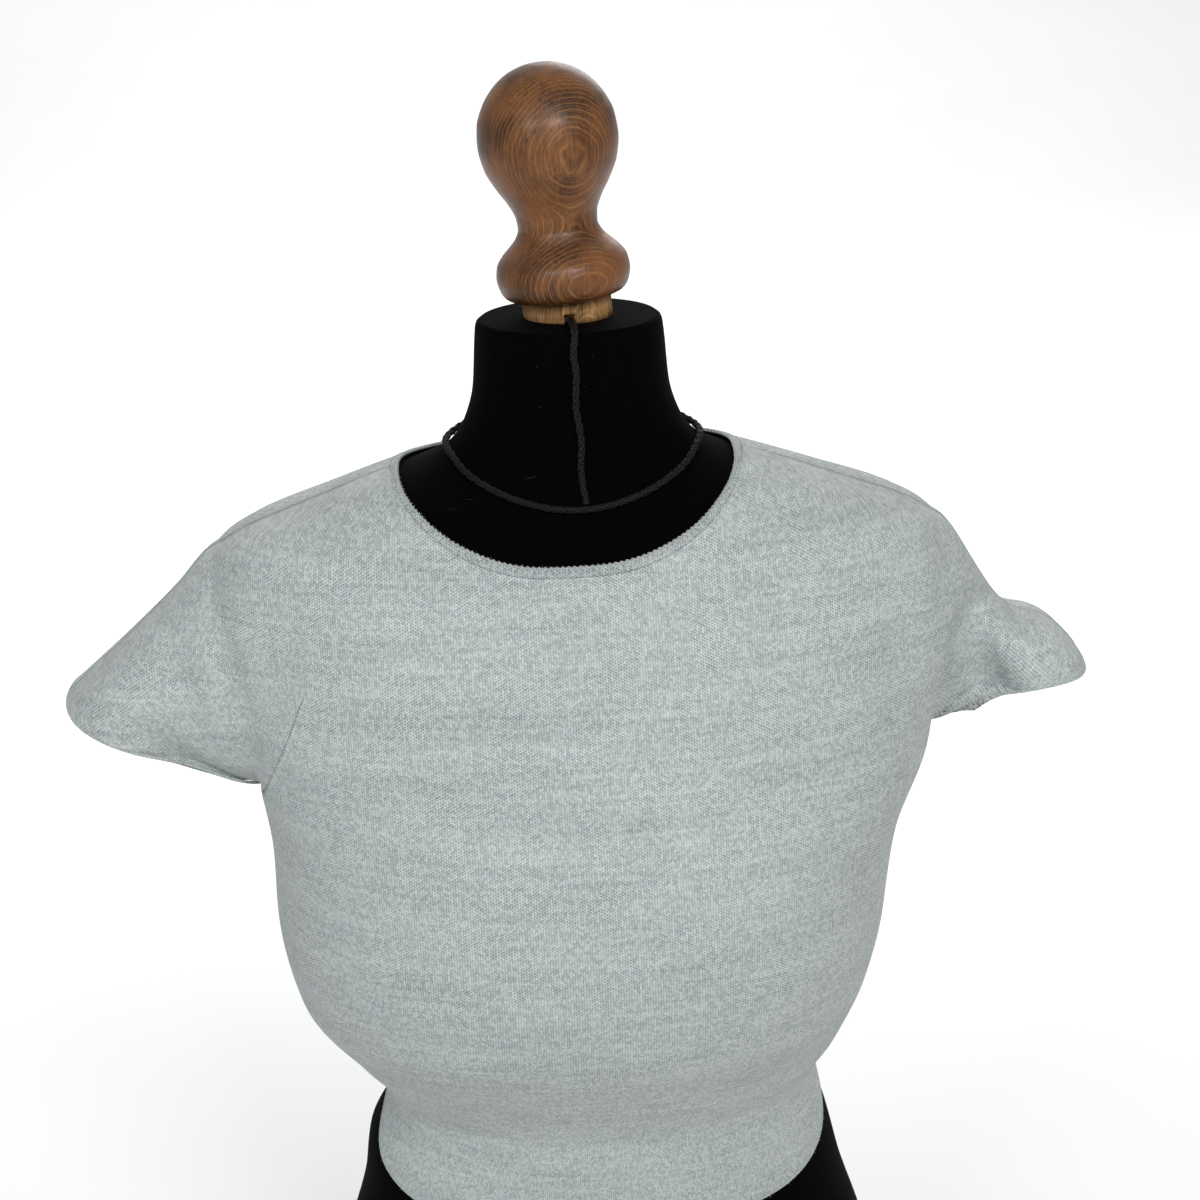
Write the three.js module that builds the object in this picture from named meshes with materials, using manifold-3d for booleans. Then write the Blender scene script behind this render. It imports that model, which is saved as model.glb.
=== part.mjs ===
// A knitted crop top with cut-on cap sleeves on a limbless dress form.
// Millimetres, +Z up, the front faces -Y. The form stands on its flat underside.
import * as THREE from 'three';
import { mergeVertices } from 'three/addons/utils/BufferGeometryUtils.js';
import Module from 'manifold-3d';

// Driving dimensions
const FORM_HEIGHT = 690;
const HEM_HEIGHT = 257;
const HEM_DIP = { front: 42, back: 20 };
const HEM_ROUND = 1.25;
const NECKLINE_HALF_WIDTH = 87;
const NECKLINE_SHIFT = -4;
const FRONT_NECK_DEPTH = 79;
const BACK_NECK_DEPTH = 55;
const SLEEVE_TIP_HALF_SPAN = 268;
const WALL = 1.3;
const EASE = 1.2;
const SEAM_GAP = 0.3;
const SEAT_GAP = 0.3;
const BODY_SLACK = 0.9;
const SHOULDER_SLACK = 4;
const SLACK_AT = 586;
const SLACK_HEIGHT = 34;

// Sections of the form, from its underside to the top of its neck: half width, how far the front and
// the back stand out from the middle, where the middle lies, how far it leans to one side, and how
// square the section is.
const SECTIONS = [
  { z: 0, half: 160, front: 106, back: 112, mid: 4, shift: 0, power: 2.2 },
  { z: 60, half: 162, front: 106, back: 113, mid: 4, shift: 0, power: 2.2 },
  { z: 140, half: 153, front: 98, back: 104, mid: 4, shift: 0, power: 2.2 },
  { z: 200, half: 136, front: 93, back: 86, mid: 4, shift: 0, power: 2.2 },
  { z: 230, half: 130, front: 91.5, back: 80, mid: 4, shift: -1, power: 2.2 },
  { z: 264, half: 116.5, front: 92, back: 77, mid: 4, shift: 2, power: 2.2 },
  { z: 297, half: 135, front: 106, back: 80, mid: 3, shift: -1, power: 2.3 },
  { z: 335, half: 153.5, front: 127, back: 88, mid: 2, shift: -6, power: 2.4 },
  { z: 375, half: 161, front: 136, back: 95, mid: 1, shift: -5.5, power: 2.4 },
  { z: 420, half: 163.5, front: 132, back: 102, mid: 0, shift: -2.5, power: 2.4 },
  { z: 465, half: 172, front: 118, back: 108, mid: 1, shift: 0, power: 2.4 },
  { z: 520, half: 180, front: 99, back: 109, mid: 3, shift: 0, power: 2.4 },
  { z: 560, half: 186, front: 86, back: 99, mid: 6, shift: 0, power: 2.4 },
  { z: 574, half: 185, front: 81, back: 92, mid: 7, shift: 0, power: 2.4 },
  { z: 583, half: 172, front: 77, back: 86, mid: 8, shift: 0, power: 2.35 },
  { z: 596, half: 137, front: 68, back: 72, mid: 10, shift: 0, power: 2.3 },
  { z: 607, half: 106, front: 60, back: 62, mid: 11, shift: 0, power: 2.2 },
  { z: 615, half: 83, front: 55, back: 55, mid: 11, shift: 0, power: 2.1 },
  { z: 623, half: 67, front: 52, back: 52, mid: 10, shift: 0, power: 2 },
  { z: 636, half: 57, front: 50, back: 50, mid: 8, shift: 0, power: 2 },
  { z: 655, half: 51, front: 48, back: 48, mid: 4, shift: 0, power: 2 },
  { z: FORM_HEIGHT - 7, half: 48.5, front: 47, back: 47, mid: 0, shift: 0, power: 2 },
  { z: FORM_HEIGHT - 2, half: 47.8, front: 46.3, back: 46.3, mid: 0, shift: 0, power: 2 },
  { z: FORM_HEIGHT, half: 45.5, front: 44, back: 44, mid: 0, shift: 0, power: 2 },
];

// The sleeves' upper line, which carries the shoulder seam out past the form.
const SLEEVE_LINE = [
  { x: 120, top: 590 },
  { x: 160, top: 584 },
  { x: 187, top: 575 },
  { x: 206, top: 556 },
  { x: 232, top: 532 },
  { x: SLEEVE_TIP_HALF_SPAN, top: 501 },
];

// What differs between the two sides, as the top hangs a little askew.
const SIDES = {
  left: { underarm: 450, flare: 1, dip: 0, droop: 0, cuffLift: 4, hollow: 8, tipIn: 0 },
  right: { underarm: 466, flare: 8, dip: 17, droop: 14, cuffLift: 9, hollow: 16, tipIn: 6 },
};
const DIP_AT = 222;
const DIP_WIDTH = 20;
const DROOP_POWER = 3;
const FLARE_HEIGHT = 34;
const SLEEVE_HALF_DEPTH = 50;
const SLEEVE_START = 120;
const SLEEVE_FULL = 176;
const HOLLOW_AT = 204;
const HOLLOW_WIDTH = 20;
const BLEND_POWER = 4;
const SHOULDER_HALF = 184;
const SLOPE_FROM = 565;
const SLOPE_TO = FORM_HEIGHT - 8;
const NECKLINE_FROM = 540;
const NECKLINE_SQUARENESS = { front: 2.8, back: 2.5 };

// Wooden neck knob and its raw wood tenon, along their own axis from the top of the neck
const KNOB_LEAN = THREE.MathUtils.degToRad(4.3);
const TENON_RADIUS = 22.5;
const TENON_HEIGHT = 11;
const NOTCH_WIDTH = 6;
const NOTCH_HEIGHT = 5;
const NOTCH_DEPTH = 5;
const KNOB_PROFILE = [
  { z: 11, r: 27.5 },
  { z: 12.5, r: 30 },
  { z: 16, r: 32.3 },
  { z: 22, r: 33.6 },
  { z: 28, r: 32.7 },
  { z: 33, r: 29.4 },
  { z: 37, r: 25.4 },
  { z: 41, r: 21.9 },
  { z: 46, r: 19.9 },
  { z: 51.5, r: 20.4 },
  { z: 58, r: 23 },
  { z: 67, r: 28.4 },
  { z: 77, r: 33 },
  { z: 88, r: 34.8 },
  { z: 98, r: 33.9 },
  { z: 107, r: 30.4 },
  { z: 115, r: 24.6 },
  { z: 121, r: 17.2 },
  { z: 124.2, r: 9.5 },
];
const KNOB_TOP = 125;
const KNOB_FACET = 6;
const KNOB_SIDES = 32;
const SMALL_SIDES = 40;

// Black braided cord: a ring that lies round the foot of the neck, and a drop down its front
const CORD_RADIUS = 1.8;
const CORD_SEAT = 0.45;
const CORD_SIDES = 8;
const CORD_STEPS = 48;
const CORD_RING = { side: 624, front: 602, back: 640 };
const CORD_DROP_X = 3;
const CORD_WANDER = 1.2;
const CORD_SINK = 1.4;
const CORD_DROP_STEPS = 26;

// How finely the surfaces are divided
const HEM_COLUMNS = 9;
const SIDE_COLUMNS = 8;
const CUFF_COLUMNS = 8;
const MIDDLE_COLUMN = HEM_COLUMNS + SIDE_COLUMNS + CUFF_COLUMNS;
const PANEL_COLUMNS = 2 * MIDDLE_COLUMN;
const PANEL_ROWS = 20;
const BOW_POWER = 1.5;
const WAIST_TO = 335;
const FORM_SIDES = 36;
const FORM_CROWDING = 0.28;
const FORM_STEP = 11;
const NECK_FOOT = 600;
const NECK_STEP = 6;

const QUARTER = Math.PI / 2;

// A smooth curve through a table's rows that never overshoots between them.
function smoothCurve(rows, at, column) {
  const x = rows.map((row) => row[at]);
  const y = rows.map((row) => row[column]);
  const slope = x.slice(1).map((value, i) => (y[i + 1] - y[i]) / (value - x[i]));
  const tangent = x.map((_, i) => {
    if (i === 0) return slope[0];
    if (i === x.length - 1) return slope[i - 1];
    if (slope[i - 1] * slope[i] <= 0) return 0;
    return 2 / (1 / slope[i - 1] + 1 / slope[i]);
  });
  return (value) => {
    const clamped = Math.min(Math.max(value, x[0]), x[x.length - 1]);
    let i = 0;
    while (i < x.length - 2 && clamped > x[i + 1]) i += 1;
    const h = x[i + 1] - x[i];
    const t = (clamped - x[i]) / h;
    const rest = 1 - t;
    return y[i] * (1 + 2 * t) * rest * rest + tangent[i] * h * t * rest * rest
      + y[i + 1] * t * t * (3 - 2 * t) - tangent[i + 1] * h * t * t * rest;
  };
}

const section = {
  half: smoothCurve(SECTIONS, 'z', 'half'),
  front: smoothCurve(SECTIONS, 'z', 'front'),
  back: smoothCurve(SECTIONS, 'z', 'back'),
  mid: smoothCurve(SECTIONS, 'z', 'mid'),
  shift: smoothCurve(SECTIONS, 'z', 'shift'),
  power: smoothCurve(SECTIONS, 'z', 'power'),
};
const sleeveLine = smoothCurve(SLEEVE_LINE, 'x', 'top');

// Halves the span until the height where a falling quantity passes its target is known closely.
function heightWhere(quantity, target, low, high) {
  let [a, b] = [low, high];
  for (let i = 0; i < 40; i += 1) {
    const middle = (a + b) / 2;
    if (quantity(middle) > target) a = middle;
    else b = middle;
  }
  return (a + b) / 2;
}

const sideOf = (x) => (x < 0 ? SIDES.left : SIDES.right);
const bump = (value, centre, width) => Math.exp(-(((value - centre) / width) ** 2));

// Height of the sleeve's upper line, with the dip just past the form's shoulder and the drooping tip.
function sleeveTop(x) {
  const side = sideOf(x);
  const reach = Math.abs(x);
  const past = Math.max(reach - DIP_AT, 0) / (SLEEVE_TIP_HALF_SPAN - DIP_AT);
  return sleeveLine(reach) - side.dip * bump(reach, DIP_AT, DIP_WIDTH) - side.droop * past ** DROOP_POWER;
}

// Where a sleeve's tip lies across the object.
function tipOf(sign) {
  return sign * (SLEEVE_TIP_HALF_SPAN - sideOf(sign).tipIn);
}

// Height of the shoulder's ridge: the form's own slope, then the sleeve's line.
function ridge(x) {
  const ownSlope = Math.abs(x) < SHOULDER_HALF
    ? heightWhere(section.half, Math.abs(x), SLOPE_FROM, SLOPE_TO)
    : -Infinity;
  return Math.abs(x) < SLEEVE_START ? ownSlope : Math.max(ownSlope, sleeveTop(x));
}

// How much slimmer than the cloth the form is at a height: most at the ends of its shoulders.
function slack(z) {
  return BODY_SLACK + SHOULDER_SLACK * bump(z, SLACK_AT, SLACK_HEIGHT);
}

// Half width of the top's body, which stands off the form a little below one sleeve.
function bodyHalf(z, side) {
  return section.half(z) + side.flare * bump(z, side.underarm, FLARE_HEIGHT);
}

// How far the top's body stands out from its middle at a place in the front view.
function bodyDepth(x, z, face) {
  const share = Math.abs(x - section.shift(z)) / bodyHalf(z, sideOf(x));
  if (share >= 1) return 0;
  const power = section.power(z);
  return section[face](z) * (1 - share ** power) ** (1 / power);
}

// How far a cap sleeve stands out: a flattened tube with a hollow beside the form's shoulder.
function sleeveDepth(x, z) {
  const reach = Math.abs(x);
  if (reach <= SLEEVE_START) return 0;
  const side = sideOf(x);
  const top = sleeveTop(x);
  const halfHeight = (top - side.underarm) / 2;
  const level = (z - side.underarm - halfHeight) / halfHeight;
  if (Math.abs(level) >= 1) return 0;
  const grow = Math.min((reach - SLEEVE_START) / (SLEEVE_FULL - SLEEVE_START), 1);
  const hollow = side.hollow * bump(reach, HOLLOW_AT, HOLLOW_WIDTH);
  return (SLEEVE_HALF_DEPTH * grow * grow * (3 - 2 * grow) - hollow) * Math.sqrt(1 - level * level);
}

// The top's depth: body and sleeve run softly into one surface.
function clothDepth(x, z, face) {
  const body = bodyDepth(x, z, face);
  const sleeve = Math.max(sleeveDepth(x, z), 0);
  return (body ** BLEND_POWER + sleeve ** BLEND_POWER) ** (1 / BLEND_POWER);
}

// Neckline in plan is a squared oval, and its height is where the body has that depth.
function necklinePoint(turn, face) {
  const squareness = NECKLINE_SQUARENESS[face];
  const deepest = face === 'front' ? FRONT_NECK_DEPTH : BACK_NECK_DEPTH;
  const [s, c] = [Math.sin(turn), Math.cos(turn)];
  const size = (Math.abs(s) / NECKLINE_HALF_WIDTH) ** squareness + (c / deepest) ** squareness;
  const radius = size ** (-1 / squareness);
  const x = NECKLINE_SHIFT + radius * s;
  return { x, z: heightWhere((z) => bodyDepth(x, z, face), radius * c, NECKLINE_FROM, SLOPE_TO) };
}

// Height of the hem at a share of the half width. It rises towards the side seams.
function hemHeight(share, face) {
  const power = section.power(HEM_HEIGHT);
  const forward = (1 - share ** power) ** (1 / power);
  return HEM_HEIGHT - HEM_DIP[face] * Math.sin(forward * QUARTER) ** HEM_ROUND;
}

// Outer edge of a panel, column by column: cuff, side seam, hem, side seam and cuff.
function outerEdge(column, face) {
  const fromMiddle = Math.abs(column - MIDDLE_COLUMN);
  const sign = column < MIDDLE_COLUMN ? -1 : 1;
  const side = sideOf(sign);
  if (fromMiddle <= HEM_COLUMNS) {
    const across = Math.sin((fromMiddle / HEM_COLUMNS) * QUARTER);
    const z = hemHeight(across, face);
    return { x: section.shift(z) + sign * across * bodyHalf(z, side), z };
  }
  if (fromMiddle <= HEM_COLUMNS + SIDE_COLUMNS) {
    const share = (fromMiddle - HEM_COLUMNS) / SIDE_COLUMNS;
    const z = HEM_HEIGHT + (side.underarm - HEM_HEIGHT) * share;
    return { x: section.shift(z) + sign * bodyHalf(z, side), z };
  }
  const step = (fromMiddle - HEM_COLUMNS - SIDE_COLUMNS) / CUFF_COLUMNS;
  const along = (1 - Math.cos(Math.PI * step)) / 2;
  const start = sign * bodyHalf(side.underarm, side);
  const tip = ridge(tipOf(sign));
  return {
    x: start + (tipOf(sign) - start) * along,
    z: side.underarm + (tip - side.underarm) * along + side.cuffLift * Math.sin(Math.PI * along),
  };
}

// How far the shoulder seam bows away from a straight line, at a share of its run from the neck.
function shoulderBow(sign, share) {
  const neck = NECKLINE_SHIFT + sign * NECKLINE_HALF_WIDTH;
  const x = neck + (tipOf(sign) - neck) * share;
  return ridge(x) - ridge(neck) * (1 - share) - ridge(tipOf(sign)) * share;
}

// Width that the panel's lines are drawn in with at the waist.
const waistScale = (z) => section.half(Math.min(z, WAIST_TO));

// Middle surface of a panel: lines run from the neckline out to the edge in the front view, closer
// together towards the seams and drawn in at the waist, and each point takes the cloth's depth there.
function panelPoints(face) {
  const sign = face === 'front' ? -1 : 1;
  const rows = [];
  for (let row = 0; row <= PANEL_ROWS; row += 1) {
    const points = [];
    for (let column = 0; column <= PANEL_COLUMNS; column += 1) {
      const across = column / MIDDLE_COLUMN - 1;
      const even = row / PANEL_ROWS;
      const crowding = Math.min((Math.abs(across) * MIDDLE_COLUMN) / HEM_COLUMNS, 1);
      const share = even + crowding * (Math.sin(even * QUARTER) - even);
      const turn = (across + Math.sin(across * QUARTER)) / 2 * QUARTER;
      const inner = necklinePoint(turn, face);
      const outer = outerEdge(column, face);
      const left = (1 - across) / 2;
      const bow = shoulderBow(-1, share) * left + shoulderBow(1, share) * (1 - left);
      const start = inner.x / waistScale(inner.z);
      const end = (outer.x - section.shift(outer.z)) / waistScale(outer.z);
      const z = inner.z * (1 - share) + outer.z * share + bow * Math.abs(across) ** BOW_POWER;
      const x = section.shift(z) + (start * (1 - share) + end * share) * waistScale(z);
      const out = Math.max(clothDepth(x, z, face), SEAM_GAP / 2);
      points.push(new THREE.Vector3(x, section.mid(z) + sign * out, z));
    }
    rows.push(points);
  }
  return rows;
}

// Direction a grid runs in at one place along a line of points, exact at the ends to second order.
function runOf(pick, index, last) {
  if (index === 0) {
    return pick(1).clone().multiplyScalar(4).addScaledVector(pick(0), -3).sub(pick(2));
  }
  if (index === last) {
    return pick(last).clone().multiplyScalar(3).addScaledVector(pick(last - 1), -4).add(pick(last - 2));
  }
  return pick(index + 1).clone().sub(pick(index - 1));
}

// Outward directions of a panel's surface. At the seams they lie level with the seam.
function panelNormals(rows, face) {
  const sign = face === 'front' ? 1 : -1;
  return rows.map((points, row) => points.map((_, column) => {
    const across = runOf((i) => points[i], column, PANEL_COLUMNS);
    const outward = runOf((i) => rows[i][column], row, PANEL_ROWS);
    const normal = outward.cross(across).multiplyScalar(sign);
    const fromMiddle = Math.abs(column - MIDDLE_COLUMN);
    const onShoulder = fromMiddle === MIDDLE_COLUMN;
    const besideSeam = fromMiddle >= HEM_COLUMNS && fromMiddle <= HEM_COLUMNS + SIDE_COLUMNS;
    if (onShoulder || (row === PANEL_ROWS && besideSeam)) normal.y = 0;
    return normal.normalize();
  }));
}

// A cloth wall: the panel's points moved out by the ease, and by the ease and the wall.
function clothWall(face) {
  const rows = panelPoints(face);
  const normals = panelNormals(rows, face);
  const moved = (by) => rows.map((points, row) => points.map((point, column) => (
    point.clone().addScaledVector(normals[row][column], by))));
  return closedSheet(moved(EASE + WALL), moved(EASE), face === 'front');
}

// Closes two like grids of points into one solid, joined round their border. The cells' diagonals
// are mirrored about the middle column.
function closedSheet(outer, inner, flip) {
  const last = { row: outer.length - 1, column: outer[0].length - 1 };
  const width = last.column + 1;
  const count = (last.row + 1) * width;
  const positions = [...outer.flat(), ...inner.flat()].flatMap((p) => [p.x, p.y, p.z]);
  const indices = [];
  const quad = (a, b, c, d) => {
    if (flip) indices.push(a, c, b, a, d, c);
    else indices.push(a, b, c, a, c, d);
  };
  const at = (row, column) => row * width + column;
  for (let row = 0; row < last.row; row += 1) {
    for (let column = 0; column < last.column; column += 1) {
      const corners = [at(row, column), at(row, column + 1), at(row + 1, column + 1), at(row + 1, column)];
      if (column >= last.column / 2) corners.push(corners.shift());
      quad(...corners);
      quad(...corners.reverse().map((index) => index + count));
    }
  }
  const border = [];
  for (let column = 0; column < last.column; column += 1) border.push(at(0, column));
  for (let row = 0; row < last.row; row += 1) border.push(at(row, last.column));
  for (let column = last.column; column > 0; column -= 1) border.push(at(last.row, column));
  for (let row = last.row; row > 0; row -= 1) border.push(at(row, 0));
  border.forEach((index, i) => {
    const next = border[(i + 1) % border.length];
    quad(next, index, index + count, next + count);
  });
  return geometryFrom(positions, indices);
}

function geometryFrom(positions, indices) {
  const geometry = new THREE.BufferGeometry();
  geometry.setAttribute('position', new THREE.Float32BufferAttribute(positions, 3));
  geometry.setIndex(indices);
  geometry.computeVertexNormals();
  return geometry;
}

// A point of the form's surface at one height, by its angle from the right-hand side.
function formPoint(turn, z) {
  const [c, s] = [Math.cos(turn), Math.sin(turn)];
  const power = section.power(z);
  const depth = (s < 0 ? section.front(z) : section.back(z)) - slack(z) / 2;
  const half = section.half(z) - slack(z);
  const size = (Math.abs(c) / half) ** power + (Math.abs(s) / depth) ** power;
  const radius = size ** (-1 / power);
  return new THREE.Vector3(section.shift(z) + radius * c, section.mid(z) + radius * s, z);
}

// The form: its sections stacked, with more of them where the shoulders turn, and two flat ends.
function formGeometry() {
  const heights = SECTIONS.slice(1).flatMap((row, i) => {
    const below = SECTIONS[i].z;
    const steps = Math.ceil((row.z - below) / (below < NECK_FOOT ? FORM_STEP : NECK_STEP));
    return Array.from({ length: steps }, (_, k) => below + ((row.z - below) * k) / steps);
  });
  heights.push(FORM_HEIGHT);
  const rings = heights.map((z) => Array.from(
    { length: FORM_SIDES },
    (_, k) => formPoint(evenTurn(k), z),
  ));
  return stackedRings(rings);
}

// Angles that crowd towards the two sides, where a wide flat section bends most.
function evenTurn(k) {
  const turn = (2 * Math.PI * k) / FORM_SIDES;
  return turn - FORM_CROWDING * Math.sin(2 * turn);
}

// Closes a stack of rings of points into one solid with a flat fan at each end.
function stackedRings(rings) {
  const sides = rings[0].length;
  const top = rings.length - 1;
  const positions = rings.flat().flatMap((p) => [p.x, p.y, p.z]);
  const indices = [];
  for (let ring = 0; ring < top; ring += 1) {
    for (let k = 0; k < sides; k += 1) {
      const [a, b] = [ring * sides + k, ring * sides + ((k + 1) % sides)];
      indices.push(a, b, b + sides, a, b + sides, a + sides);
    }
  }
  for (let k = 1; k < sides - 1; k += 1) {
    indices.push(0, k + 1, k);
    indices.push(top * sides, top * sides + k, top * sides + k + 1);
  }
  return geometryFrom(positions, indices);
}

// A turned piece standing on +Z.
function turned(profile, sides) {
  const points = profile.map(({ z, r }) => new THREE.Vector2(r, z));
  return new THREE.LatheGeometry(points, sides).rotateX(QUARTER);
}

function knobGeometry() {
  const foot = KNOB_PROFILE[0].z + SEAT_GAP;
  const body = [{ z: foot, r: KNOB_PROFILE[0].r }, ...KNOB_PROFILE.slice(1)];
  const flatTop = [{ z: KNOB_TOP, r: KNOB_FACET }, { z: KNOB_TOP, r: 0 }];
  return turned([{ z: foot, r: 0 }, ...body, ...flatTop], KNOB_SIDES);
}

// The tenon leans with the knob but is sawn level where it stands on the neck, with a notch in front.
async function tenonGeometry() {
  const wasm = await Module();
  wasm.setup();
  const solid = (geometry) => {
    const bare = geometry.clone();
    bare.deleteAttribute('normal');
    bare.deleteAttribute('uv');
    const merged = mergeVertices(bare);
    return new wasm.Manifold(new wasm.Mesh({
      numProp: 3,
      vertProperties: new Float32Array(merged.attributes.position.array),
      triVerts: new Uint32Array(merged.index.array),
    }));
  };
  const sunk = 6;
  const rod = turned([
    { z: -sunk, r: 0 }, { z: -sunk, r: TENON_RADIUS },
    { z: TENON_HEIGHT, r: TENON_RADIUS }, { z: TENON_HEIGHT, r: 0 },
  ], SMALL_SIDES).rotateY(-KNOB_LEAN);
  const block = 4 * sunk;
  const below = new THREE.BoxGeometry(4 * TENON_RADIUS, 4 * TENON_RADIUS, block)
    .translate(0, 0, SEAT_GAP - block / 2);
  const notch = new THREE.BoxGeometry(NOTCH_WIDTH, 2 * NOTCH_DEPTH, 2 * NOTCH_HEIGHT)
    .translate(0, -TENON_RADIUS, SEAT_GAP);
  const cut = solid(rod).subtract(solid(below)).subtract(solid(notch)).getMesh();
  return geometryFrom(Array.from(cut.vertProperties), Array.from(cut.triVerts));
}

// Outward direction of the form's surface, from how it runs round and upward.
function formNormal(turn, z) {
  const step = 0.01;
  const round = formPoint(turn + step, z).sub(formPoint(turn - step, z));
  const up = formPoint(turn, z + step).sub(formPoint(turn, z - step));
  return round.cross(up).normalize();
}

// A place on the form for the middle of a cord that lies on it.
function cordPlace(turn, z) {
  return formPoint(turn, z).addScaledVector(formNormal(turn, z), CORD_RADIUS + CORD_SEAT);
}

// The cord's ring: low in front, level with the neck's foot at the sides, high behind.
function cordRingGeometry() {
  const height = (turn) => {
    const middle = Math.sin(turn) < 0 ? CORD_RING.front : CORD_RING.back;
    return CORD_RING.side + (middle - CORD_RING.side) * Math.sin(turn) ** 2;
  };
  const centres = Array.from({ length: CORD_STEPS }, (_, k) => {
    const turn = (2 * Math.PI * k) / CORD_STEPS;
    return cordPlace(turn, height(turn));
  });
  const positions = [];
  const indices = [];
  centres.forEach((centre, k) => {
    const run = centres[(k + 1) % CORD_STEPS].clone().sub(centres[(k + CORD_STEPS - 1) % CORD_STEPS]);
    const out = new THREE.Vector3(centre.x, centre.y, 0).cross(run).cross(run).negate().normalize();
    const along = run.normalize().clone().cross(out);
    for (let j = 0; j < CORD_SIDES; j += 1) {
      const angle = (2 * Math.PI * j) / CORD_SIDES;
      const p = centre.clone().addScaledVector(out, CORD_RADIUS * Math.cos(angle))
        .addScaledVector(along, CORD_RADIUS * Math.sin(angle));
      positions.push(p.x, p.y, p.z);
      const [a, b] = [k * CORD_SIDES + j, k * CORD_SIDES + ((j + 1) % CORD_SIDES)];
      const shift = (index) => (index + CORD_SIDES) % (CORD_STEPS * CORD_SIDES);
      indices.push(a, b, shift(b), a, shift(b), shift(a));
    }
  });
  return geometryFrom(positions, indices);
}

// The cord's drop: out of the tenon's notch, over the neck's edge and down its front to the ring.
function cordDropGeometry() {
  const front = -QUARTER;
  const lift = CORD_RADIUS + CORD_SEAT;
  const foot = CORD_RING.front + 2 * CORD_RADIUS - CORD_SINK;
  const points = [
    new THREE.Vector3(0, -TENON_RADIUS + 1, FORM_HEIGHT + lift),
    new THREE.Vector3(0.5, -33, FORM_HEIGHT + lift + 0.3),
    new THREE.Vector3(1, -42, FORM_HEIGHT + lift + 0.5),
    new THREE.Vector3(1, -46.6, FORM_HEIGHT + lift - 0.9),
    new THREE.Vector3(0.8, -49.2, FORM_HEIGHT - 2.4),
  ];
  const steps = 8;
  const head = FORM_HEIGHT - 9;
  for (let i = 0; i <= steps; i += 1) {
    const z = head + ((foot - head) * i) / steps;
    const drift = (CORD_DROP_X * i) / steps + CORD_WANDER * Math.sin(1.7 * i);
    points.push(cordPlace(front + drift / section.front(z), z));
  }
  const shape = new THREE.Shape();
  shape.absarc(0, 0, CORD_RADIUS, 0, 2 * Math.PI);
  return new THREE.ExtrudeGeometry(shape, {
    steps: CORD_DROP_STEPS,
    curveSegments: CORD_SIDES / 2,
    extrudePath: new THREE.CatmullRomCurve3(points, false, 'centripetal'),
  });
}

function cloth(color) {
  return new THREE.MeshStandardMaterial({ color, roughness: 0.9, metalness: 0, side: THREE.DoubleSide });
}

function piece(name, geometry, material) {
  const mesh = new THREE.Mesh(geometry, material);
  mesh.name = name;
  return mesh;
}

const onNeck = new THREE.Group();
onNeck.position.set(0, 0, FORM_HEIGHT);
const leaning = new THREE.Group();
leaning.rotation.y = -KNOB_LEAN;
leaning.add(piece('neck_knob', knobGeometry(), new THREE.MeshStandardMaterial({
  color: '#6e4d32', roughness: 0.35, metalness: 0,
})));
onNeck.add(leaning);
onNeck.add(piece('knob_tenon', await tenonGeometry(), new THREE.MeshStandardMaterial({
  color: '#96734b', roughness: 0.8, metalness: 0,
})));

const stand = new THREE.Group();
stand.add(
  piece('top_front', clothWall('front'), cloth('#afb8b7')),
  piece('top_back', clothWall('back'), cloth('#afb8b7')),
  piece('form_body', formGeometry(), cloth('#0a0a0b')),
  piece('cord_ring', cordRingGeometry(), cloth('#08080a')),
  piece('cord_drop', cordDropGeometry(), cloth('#08080a')),
  onNeck,
);

// The origin lies under the middle of the whole object.
const extent = new THREE.Box3().setFromObject(stand, true);
const middle = extent.getCenter(new THREE.Vector3());
stand.position.set(-middle.x, -middle.y, 0);

const object = new THREE.Group();
object.add(stand);
export default object;
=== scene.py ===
"""A fine-knit crop top on a black dress form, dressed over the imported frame.

Shapes are worked out in millimetres about the form's own middle line, and go into their meshes in
metres in the frame's place. The front of the top faces -Y and the form stands on its underside.
"""

import logging
from dataclasses import dataclass, field
from enum import Enum
from typing import Callable, Sequence

import bpy
import numpy as np
from mathutils import Matrix, Vector

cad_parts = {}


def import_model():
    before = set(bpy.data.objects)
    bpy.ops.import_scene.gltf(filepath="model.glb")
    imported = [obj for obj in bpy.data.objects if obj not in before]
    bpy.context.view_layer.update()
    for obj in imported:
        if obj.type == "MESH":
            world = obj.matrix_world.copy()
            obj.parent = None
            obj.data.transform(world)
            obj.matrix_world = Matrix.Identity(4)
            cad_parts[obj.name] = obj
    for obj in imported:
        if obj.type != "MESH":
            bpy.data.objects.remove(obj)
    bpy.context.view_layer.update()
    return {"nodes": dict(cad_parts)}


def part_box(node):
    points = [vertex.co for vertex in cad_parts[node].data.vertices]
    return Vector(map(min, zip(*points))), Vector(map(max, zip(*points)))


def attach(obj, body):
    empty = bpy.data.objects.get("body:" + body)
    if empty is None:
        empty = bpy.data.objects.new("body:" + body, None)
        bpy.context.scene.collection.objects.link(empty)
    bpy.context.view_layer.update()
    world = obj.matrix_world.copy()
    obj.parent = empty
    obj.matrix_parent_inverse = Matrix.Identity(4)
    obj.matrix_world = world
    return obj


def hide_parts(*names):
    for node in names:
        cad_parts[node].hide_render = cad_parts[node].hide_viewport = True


LOG = logging.getLogger("crop_top")
Array = np.ndarray
Pair = tuple[float, float]
Triple = tuple[float, float, float]
Table = tuple[float, ...]
Shade = tuple[int, int, int]
Socket = bpy.types.NodeSocket
Node = bpy.types.Node
Material = bpy.types.Material
QUARTER = np.pi / 2
TURN = 2 * np.pi
MM = 1000
NO_EDGE = 20.0


class Face(Enum):
    """The two panels of the top, by the way that they face along Y."""

    FRONT = -1
    BACK = 1


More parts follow.
